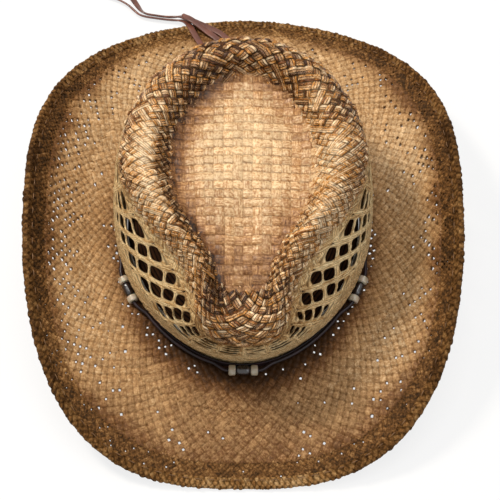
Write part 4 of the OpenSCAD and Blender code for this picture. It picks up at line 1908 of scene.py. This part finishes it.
@dataclass
class Lining:
    """The sweatband and the tape behind it, which lean into the crown."""

    sweat_out: float = 2.9
    sweat_t: float = 1.4
    sweat_h: float = 32.0
    lean: float = 16.0
    tape_out: float = 1.5
    tape_t: float = 1.0
    tape_h: float = 14.0
    tape_lean: float = 2.0
    ribs: int = 13
    rib_depth: float = 0.5
    weft_depth: float = 0.06

    def inside(self, a: Array, d: Array, h: Array) -> Array:
        """Points inside the crown's foot.

        Args:
            a: angles.
            d: how far they lie inwards from the straw's middle.
            h: how far up.

        Returns:
            A row of points for each angle.
        """
        base = FORM.foot.at(a)
        inwards = (FORM.foot.grown(-10.0).at(a) - base) / 10.0
        return base[:, None] + inwards[:, None] * d[..., None] + UP * h[..., None]

    def band(self, a: Array, near: Array, far: Array, h: Array) -> Array:
        """Sections of a band from its depth near the straw, its far depth and its height."""
        sides = self.inside(a, far, h), self.inside(a, near, h)[:, ::-1]
        return np.concatenate(sides, axis=1)

    def sweatband(self, knit: Material) -> Object:
        """The elastic band: ribs that run round a band whose top leans inwards.

        Formula: a cosine across the band's height lifts the ribs on both faces, and
        its troughs get painted shade.

        Args:
            knit: its material.

        Returns:
            The piece.
        """
        a = np.arange(360)
        s = np.linspace(0, 1, self.ribs * 6 + 1)
        lean = self.lean * np.interp(s, [0, 0.5, 1], [0, 0.15, 1])
        wave = np.cos(2 * np.pi * s * self.ribs) * np.ones((len(a), 1))
        rib = self.rib_depth * wave
        far = self.sweat_out + self.sweat_t + lean + rib * 0.6 - 0.25
        near = self.sweat_out + lean - rib + 0.35
        sections = self.band(a, near, far, -1 + s * (self.sweat_h + 1))
        pit = np.clip(0.15 - wave, 0, 1)
        pits = {"pit": np.hstack([pit, pit[:, ::-1]]).ravel()}
        obj = swept("sweatband_ribbed", sections, True, pits)
        return settle(obj, knit, "sweatband_knit", ("sweatband",))

    def tape(self, cloth: Material) -> Object:
        """The pale woven tape: flat, with a weft that lifts every second point.

        Args:
            cloth: its material.

        Returns:
            The piece.
        """
        n, m = 720, 9
        s = np.linspace(0, 1, m)
        lean = self.tape_lean * np.interp(s, [0, 0.5, 1], [0, 0.1, 0.3])
        column, row = np.meshgrid(np.arange(n), np.arange(m), indexing="ij")
        near = self.tape_out + lean + self.weft_depth * np.cos(np.pi * (column + row))
        height = 1 + s * (self.tape_h - 1)
        sections = self.band(np.arange(n) * 360 / n, near, near + self.tape_t, height)
        obj = swept("sweatband_tape_woven", sections)
        return settle(obj, cloth, "tape", ("sweatband_tape",))


def thread_stitches(
    name: str, centres: Array, along: Array, up: Array, length: float, thick: float
) -> Object:
    """Many short stitches in one piece: arcs of thread that dive in at both ends.

    Formula: a half sine lifts the middle of each stitch, and the section is a hexagon
    that narrows towards the ends.

    Args:
        name: the piece's name.
        centres: middles of the stitches.
        along: directions of the stitches.
        up: directions away from the cloth.
        length: length of a stitch, in millimetres.
        thick: width of the thread, in millimetres.

    Returns:
        The object.
    """
    rings, sides = 7, 6
    s = np.linspace(-1, 1, rings)[:, None]
    arc = np.cos(s * np.pi / 2)
    line = centres[:, None] + along[:, None] * s * length / 2 + up[:, None] * (0.35 * arc - 0.2)
    hexagon = oblong(thick, thick, sides)
    ring = carry(hexagon, 0 * centres, unit(np.cross(along, up)), up)[:, None]
    points = line[:, :, None] + ring * (0.45 + 0.55 * arc[..., None] ** 0.5)
    points = points.reshape(-1, 3)
    size = rings * sides
    body = quads_of_grid(rings, sides, False, True)
    ends = np.array([[3, 2, 1, 0], [5, 4, 3, 0], [36, 37, 38, 39], [39, 40, 41, 36]])
    one = np.vstack([body, ends])
    if solid_volume(points[:size], body) < 0:
        one = one[:, ::-1]
    faces = (one[None] + (np.arange(len(centres)) * size)[:, None, None]).reshape(-1, 4)
    return make_piece(name, points, faces)


@dataclass
class Stitching:
    """Threads of the hem and of the sweatband."""

    hem_count: int = 108
    hem_length: float = 4.6
    hem_in: float = 3.1
    hem_up: float = 2.75
    band_count: int = 72
    band_length: float = 4.8
    band_up: float = 3.0
    thick: float = 0.6

    def hem(self, thread: Material) -> Object:
        """Long stitches on the folded braid, near its inner edge.

        Args:
            thread: their material.

        Returns:
            The piece.
        """
        a = (np.arange(self.hem_count) + 0.5) * 360 / self.hem_count
        rim, out, along, up = at_rim(a, 0.5)
        centres = rim - out * self.hem_in + up * self.hem_up
        stitches = centres, along, up, self.hem_length, self.thick
        obj = thread_stitches("hem_stitching_thread", *stitches)
        return settle(obj, thread, "thread", ("hem_stitching",))

    def band(self, thread: Material, lining: Lining) -> Object:
        """Stitches that hold the sweatband to the crown's foot.

        Args:
            thread: their material.
            lining: the sweatband's sizes.

        Returns:
            The piece.
        """
        a = (np.arange(self.band_count) + 0.5) * 360 / self.band_count
        d = np.full((len(a), 1), lining.sweat_out + lining.sweat_t + 0.4)
        h = np.full_like(d, self.band_up)
        places = ((a, d), (a - 0.5, d), (a + 0.5, d), (a, d + 1))
        centres, behind, ahead, inner = (lining.inside(b, e, h)[:, 0] for b, e in places)
        along, up = unit(ahead - behind), unit(inner - centres)
        up = unit(up - along * (up * along).sum(axis=1, keepdims=True))
        stitches = centres, along, up, self.band_length, self.thick
        obj = thread_stitches("sweatband_stitching_thread", *stitches)
        return settle(obj, thread, "thread", ("sweatband_stitching",))


# ---- studio


def seen_directly(tree: Tree) -> Node:
    """1 for rays from the camera, mirrored or let through, so the backdrop shows white.

    Args:
        tree: the material's or world's node tree.

    Returns:
        The node with that value.
    """
    ray = add_node(tree, "LightPath").outputs
    seen = ray["Is Camera Ray"]
    for kind in ("Is Glossy Ray", "Is Transmission Ray"):
        seen = add_node(tree, "Math", {0: seen, 1: ray[kind]}, operation="MAXIMUM")
    return seen


@dataclass(frozen=True)
class Studio:
    """Camera, floor and soft lamps."""

    target: tuple[float, float, float] = (0.0, -0.030, 0.0265)
    elevation: float = 61.4
    distance: float = 1.100
    lens: float = 117.33
    shift: tuple[float, float] = (0.0136, 0.012)
    dark_w: float = 0.09
    dark_l: float = 0.100
    dark_edge: tuple[float, float] = (0.72, 1.08)
    floor_half: float = 4000.0
    floor_down: float = 0.0002
    white_share: float = 0.8

    def aimed(self, data: bpy.types.ID, place: Vector, target: Vector) -> Object:
        """Puts a camera or a lamp into the scene.

        Args:
            data: the camera or the lamp.
            place: where it stands.
            target: what it looks at.

        Returns:
            Its object.
        """
        obj = bpy.data.objects.new(data.name, data)
        bpy.context.scene.collection.objects.link(obj)
        obj.location = place
        obj.rotation_euler = (target - obj.location).to_track_quat("-Z", "Y").to_euler()
        return obj

    def camera(self) -> None:
        """The camera, looking down at the front of the hat."""
        data = bpy.data.cameras.new("view_camera")
        data.lens = self.lens
        data.sensor_width = 36.0
        data.shift_x, data.shift_y = self.shift
        data.clip_end = 20.0
        rise = math.radians(self.elevation)
        target = Vector(self.target)
        place = target + self.distance * Vector((0, -math.cos(rise), math.sin(rise)))
        bpy.context.scene.camera = self.aimed(data, place, target)

    def paper(self, tree: Tree) -> Node:
        """Adds the nodes of a white paper floor: white to the camera, with a soft shadow.

        Inside the head opening the floor lies in the hat's own dark, so it glows less.

        Args:
            tree: the material's empty node tree.

        Returns:
            The shader node.
        """
        place = add_node(tree, "TexCoord").outputs["Object"]
        inputs = {0: place, 1: (1 / self.dark_w, 1 / self.dark_l, 0.0)}
        oval = add_node(tree, "VectorMath", inputs, operation="MULTIPLY")
        away = add_node(tree, "VectorMath", {0: oval}, operation="LENGTH").outputs["Value"]
        low, high = self.dark_edge
        inputs = {"Value": away, "From Min": low, "From Max": high, "To Max": self.white_share}
        outside = add_node(tree, "MapRange", inputs, interpolation_type="SMOOTHSTEP")
        inputs = {0: seen_directly(tree), 1: outside}
        share = add_node(tree, "Math", inputs, operation="MULTIPLY")
        paper = add_node(tree, "BsdfDiffuse", {"Color": linear("#F4F3F0")})
        white = add_node(tree, "Emission", {"Color": linear("#FFFFFF")})
        return add_node(tree, "MixShader", {0: share, 1: paper, 2: white})

    def floor(self) -> None:
        """The floor: one large square, a hair under the hat."""
        corners = np.array([[-1, -1, 0], [1, -1, 0], [1, 1, 0], [-1, 1, 0]])
        floor = make_piece("floor", corners * self.floor_half, np.array([[0, 1, 2, 3]]))
        floor.location.z = -self.floor_down
        floor.data.materials.append(new_material("white_paper_floor", self.paper))

    def lamp(
        self, name: str, place: Sequence[float], size: float, power: float, colour: str
    ) -> None:
        """A square soft lamp that looks at the hat.

        Args:
            name: the lamp's name.
            place: where it stands, in metres.
            size: its width, in metres.
            power: its power, in watts.
            colour: its sRGB hex colour.
        """
        data = bpy.data.lights.new(name, "AREA")
        data.size = size
        data.energy = power
        data.color = linear(colour)[:3]
        self.aimed(data, Vector(place), Vector((0, 0, 0.05)))

    def light(self) -> None:
        """A key from the upper left, a broad top lamp, a fill, and a pale world."""
        self.lamp("key", (-0.9, 0.5, 1.5), 0.35, 25, "#FFF6EA")
        self.lamp("top", (0.1, 0.2, 1.9), 1.0, 13, "#FFFFFF")
        self.lamp("fill", (0.9, -0.9, 1.2), 1.0, 5, "#F4F7FF")
        world = bpy.data.worlds.new("pale_world")
        world.use_nodes = True
        tree = world.node_tree
        tree.nodes.clear()
        inputs = {"Value": seen_directly(tree), "To Min": 0.3, "To Max": 1.0}
        strength = add_node(tree, "MapRange", inputs)
        inputs = {"Color": linear("#FFFFFF"), "Strength": strength}
        back = add_node(tree, "Background", inputs)
        add_node(tree, "OutputWorld", {"Surface": back})
        bpy.context.scene.world = world
        bpy.context.scene.view_settings.view_transform = "Standard"


# ---- the whole hat


class Straw(Enum):
    """The hat's straws, each named for how its raffia was worked."""

    # whole strips, woven and lacquered: pale satin tiles with soft brown clouds
    TIP = StrawFinish(
        "woven_raffia_lacquered", pale="#E8C89A", golden="#B28454", pit="#4E2A0E",
        fibre_share=0.9, speck_share=0.8, seam_share=1.0, seam_from=0.415,
    )
    # shaved strips, lacquered: pale, streaky, with long fibres and few seams
    WALL = StrawFinish(
        "shaved_raffia_lacquered", pale="#F4D8A4", golden="#BC925A", pit="#281808",
        amber="#6E4A26", specular=0.2, fibre_mm=1.1, fibre_length=10.0, fibre_share=1.1,
        seam_share=0.65, straws=True, straw_tone=0.5,
    )
    # split straws, toasted and lacquered: each its own shade from cream to black, glossy, with
    # strong specks that are partly the straw's mottling and partly painted glints
    RIDGE = StrawFinish(
        "split_raffia_toasted_lacquered", pale="#F3D6AC", golden="#CA8C42", pit="#180B02",
        amber="#7E4814", burnt="#361C07", roughness=0.4, gloss=0.12, specular=0.2,
        fibre_share=0.7, speck_share=1.1, seam_share=0.95, seam_from=0.395,
        seam_by_toast_and_shade=0.35, straws=True, straw_tone=1.0, tone_low=0.48, tone_high=1.4,
    )
    # dry woven strips without lacquer: matt tan with fine specks
    BRIM = StrawFinish(
        "woven_raffia_brim_dry", pale="#E6C69A", golden="#B28A5C", pit="#472A10",
        amber="#744E2C", burnt="#38220E", gloss=0.0, specular=0.12, speck_share=0.7,
        cloud_share=0.35, seam_share=0.6,
    )
    # narrow strips, braided and toasted: a speckled matt brown
    BORDER = StrawFinish(
        "braided_raffia_border_toasted", pale="#CFA772", golden="#9A7346", pit="#2A1A08",
        amber="#6C4824", burnt="#362410", roughness=0.65, gloss=0.0, specular=0.1,
        fibre_share=0.8, speck_share=1.5, cloud_share=0.4,
    )
    # twisted and toasted: the dull, rough brown of a rope
    HEM = StrawFinish(
        "twisted_raffia_toasted", pale="#D0A976", golden="#A27A4A", pit="#281807",
        amber="#724E28", burnt="#382411", roughness=0.75, gloss=0.0, specular=0.08,
        speck_share=1.1, cloud_share=0.4, seam_share=0.6,
    )


class Solid(Enum):
    """The finishes of the parts that are not straw."""

    # cowhide cut and oiled: warm brown with a soft sheen
    TAIL = SolidFinish(
        "oiled_cowhide_lace", "#4A2417", "#6B3824", 0.45, 6.0, 0.5, 0.12, coat=0.15
    )
    # leather dyed through: nearly black, with little shine
    LACE = SolidFinish(
        "dyed_leather_lace", "#150E10", "#2A1B1E", 0.45, 7.0, 0.5, 0.1, coat=0.05, specular=0.25
    )
    # bone turned and polished: cream, lit a little from within
    BONE = SolidFinish(
        "polished_bone", "#C6BCA8", "#A69980", 0.35, 3.0, 0.35, 0.04, coat=0.3, subsurface=0.15
    )
    # horn turned and polished: black with a clear gloss
    HORN = SolidFinish("polished_dark_horn", "#0E0B0C", "#241A19", 0.28, 3.0, 0.3, 0.02, coat=0.6)
    # elastic knitted in ribs: matt brown, with near-black painted shade between the ribs
    KNIT = SolidFinish(
        "ribbed_elastic_knit", "#3A2214", "#56361F", 0.85, 9.0, 0.4, 0.1,
        specular=0.15, hollows="#090402",
    )
    # cotton woven flat: matt off-white
    COTTON = SolidFinish("cotton_tape", "#E6E3DA", "#CFCABD", 0.8, 6.0, 0.4, 0.1)
    # cotton twisted and waxed: straw brown with a dull sheen
    THREAD = SolidFinish("waxed_cotton_thread", "#7A5734", "#523618", 0.6, 3.0, 0.25, 0.05)
    # steel drawn through a die: plain bright grey metal
    STEEL = SolidFinish(
        "drawn_steel_wire", "#9A9A9C", "#77787C", 0.35, 4.0, 0.2, 0.01, metallic=1.0
    )


# the weave of the brim's wide middle, which its outer stretch repeats with other draws
BRIM_WEAVE = Weave(
    "brim_inner_weave", 2.0, unevenness=0.5, hole_share=0.6, floats=0.05, flatness=0.9,
    tone_share=0.4, corner_share=0.8, seed=15,
)
# every piece of straw by its finish, from the top of the crown to the brim's edge
STRAW_PIECES = {
    Straw.TIP: (
        TipWeave(
            Weave("crown_tip_weave", 1.6, loose_corners=0.03, floats=0.1, flatness=0.5, seed=4)
        ),
    ),
    Straw.RIDGE: (
        RingWeave(
            Weave(
                "crown_ridge_basket", 1.6, StrandLines.TRIPLE, unevenness=0.7, loose_corners=0.1,
                floats=0.08, flatness=0.35, tone_share=0.6, corner_share=1.0, seed=7,
            ),
            StrawPart.CROWN, count=76, low=3.95, high=6.0, variance=0.45, thickness=1.0,
            raise_by=0.3, sink_from=5.75, sink_to=4.07, at_nose=True, crowding=1.0,
        ),
    ),
    Straw.WALL: (
        RingWeave(
            Weave("crown_wall_weave", 0.6, floats=0.2, corner_share=0.8, seed=9),
            StrawPart.CROWN, count=110, low=3.76, high=4.35, variance=0.3, thickness=1.0,
        ),
        VentWall(),
        RingWeave(
            Weave(
                "crown_foot_weave", 0.6, unevenness=0.4, floats=0.08, corner_share=0.8, seed=12
            ),
            StrawPart.CROWN, count=116, low=0.0, high=2.83, variance=0.3, raise_by=0.15,
        ),
    ),
    Straw.BRIM: (
        RingWeave(BRIM_WEAVE, StrawPart.BRIM, count=108, low=0.0, high=0.44, variance=0.2),
        RingWeave(
            replace(BRIM_WEAVE, name="brim_outer_weave", seed=17),
            StrawPart.BRIM, count=136, low=0.40, high=0.86, variance=0.2, raise_by=0.12,
        ),
    ),
    Straw.BORDER: (
        RingWeave(
            Weave(
                "brim_border_weave", 1.5, unevenness=0.5, hole_share=0.35, floats=0.15,
                flatness=0.5, corner_share=0.6, seed=19,
            ),
            StrawPart.BRIM, count=264, low=0.80, high=0.985, variance=0.4, raise_by=0.3,
            sink_to=0.84,
        ),
    ),
    Straw.HEM: (EdgeBraid(),),
}
# the bead trios by their angle, and the names of their places from low angle to high
BEAD_TRIOS = {
    0.0: ("front_left", "front", "front_right"),
    300.0: ("left_rear", "left", "left_fore"),
    60.0: ("right_fore", "right", "right_rear"),
}


def main() -> None:
    """Builds the studio, the cords and every piece of the hat."""
    logging.basicConfig(level=logging.INFO, format="%(message)s")
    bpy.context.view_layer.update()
    studio = Studio()
    studio.camera()
    studio.floor()
    studio.light()
    finishes = {kind: kind.value.build() for kinds in (Straw, Solid) for kind in kinds}

    LaceTails().build(finishes[Solid.TAIL])
    for straw, pieces in STRAW_PIECES.items():
        for piece in pieces:
            piece.build(finishes[straw])

    band = Hatband()
    for make in (band.flat_lace, band.bead_lace, band.knot):
        make(finishes[Solid.LACE])
    bone, horn = finishes[Solid.BONE], finishes[Solid.HORN]
    for a, (low, middle, high) in BEAD_TRIOS.items():
        band.bead(f"bone_bead_{low}", a, -1, Bead.BONE, bone)
        band.bead(f"barrel_bead_{middle}", a, 0, Bead.BARREL, horn)
        band.bead(f"bone_bead_{high}", a, 1, Bead.BONE, bone)

    lining, stitching = Lining(), Stitching()
    lining.sweatband(finishes[Solid.KNIT])
    lining.tape(finishes[Solid.COTTON])
    stitching.hem(finishes[Solid.THREAD])
    stitching.band(finishes[Solid.THREAD], lining)
    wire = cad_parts["brim_edge_wire"]
    wire.data.materials.clear()
    wire.data.materials.append(finishes[Solid.STEEL])
    LOG.info("%s: dressed", wire.name)


if __name__ == "__main__":
    main()
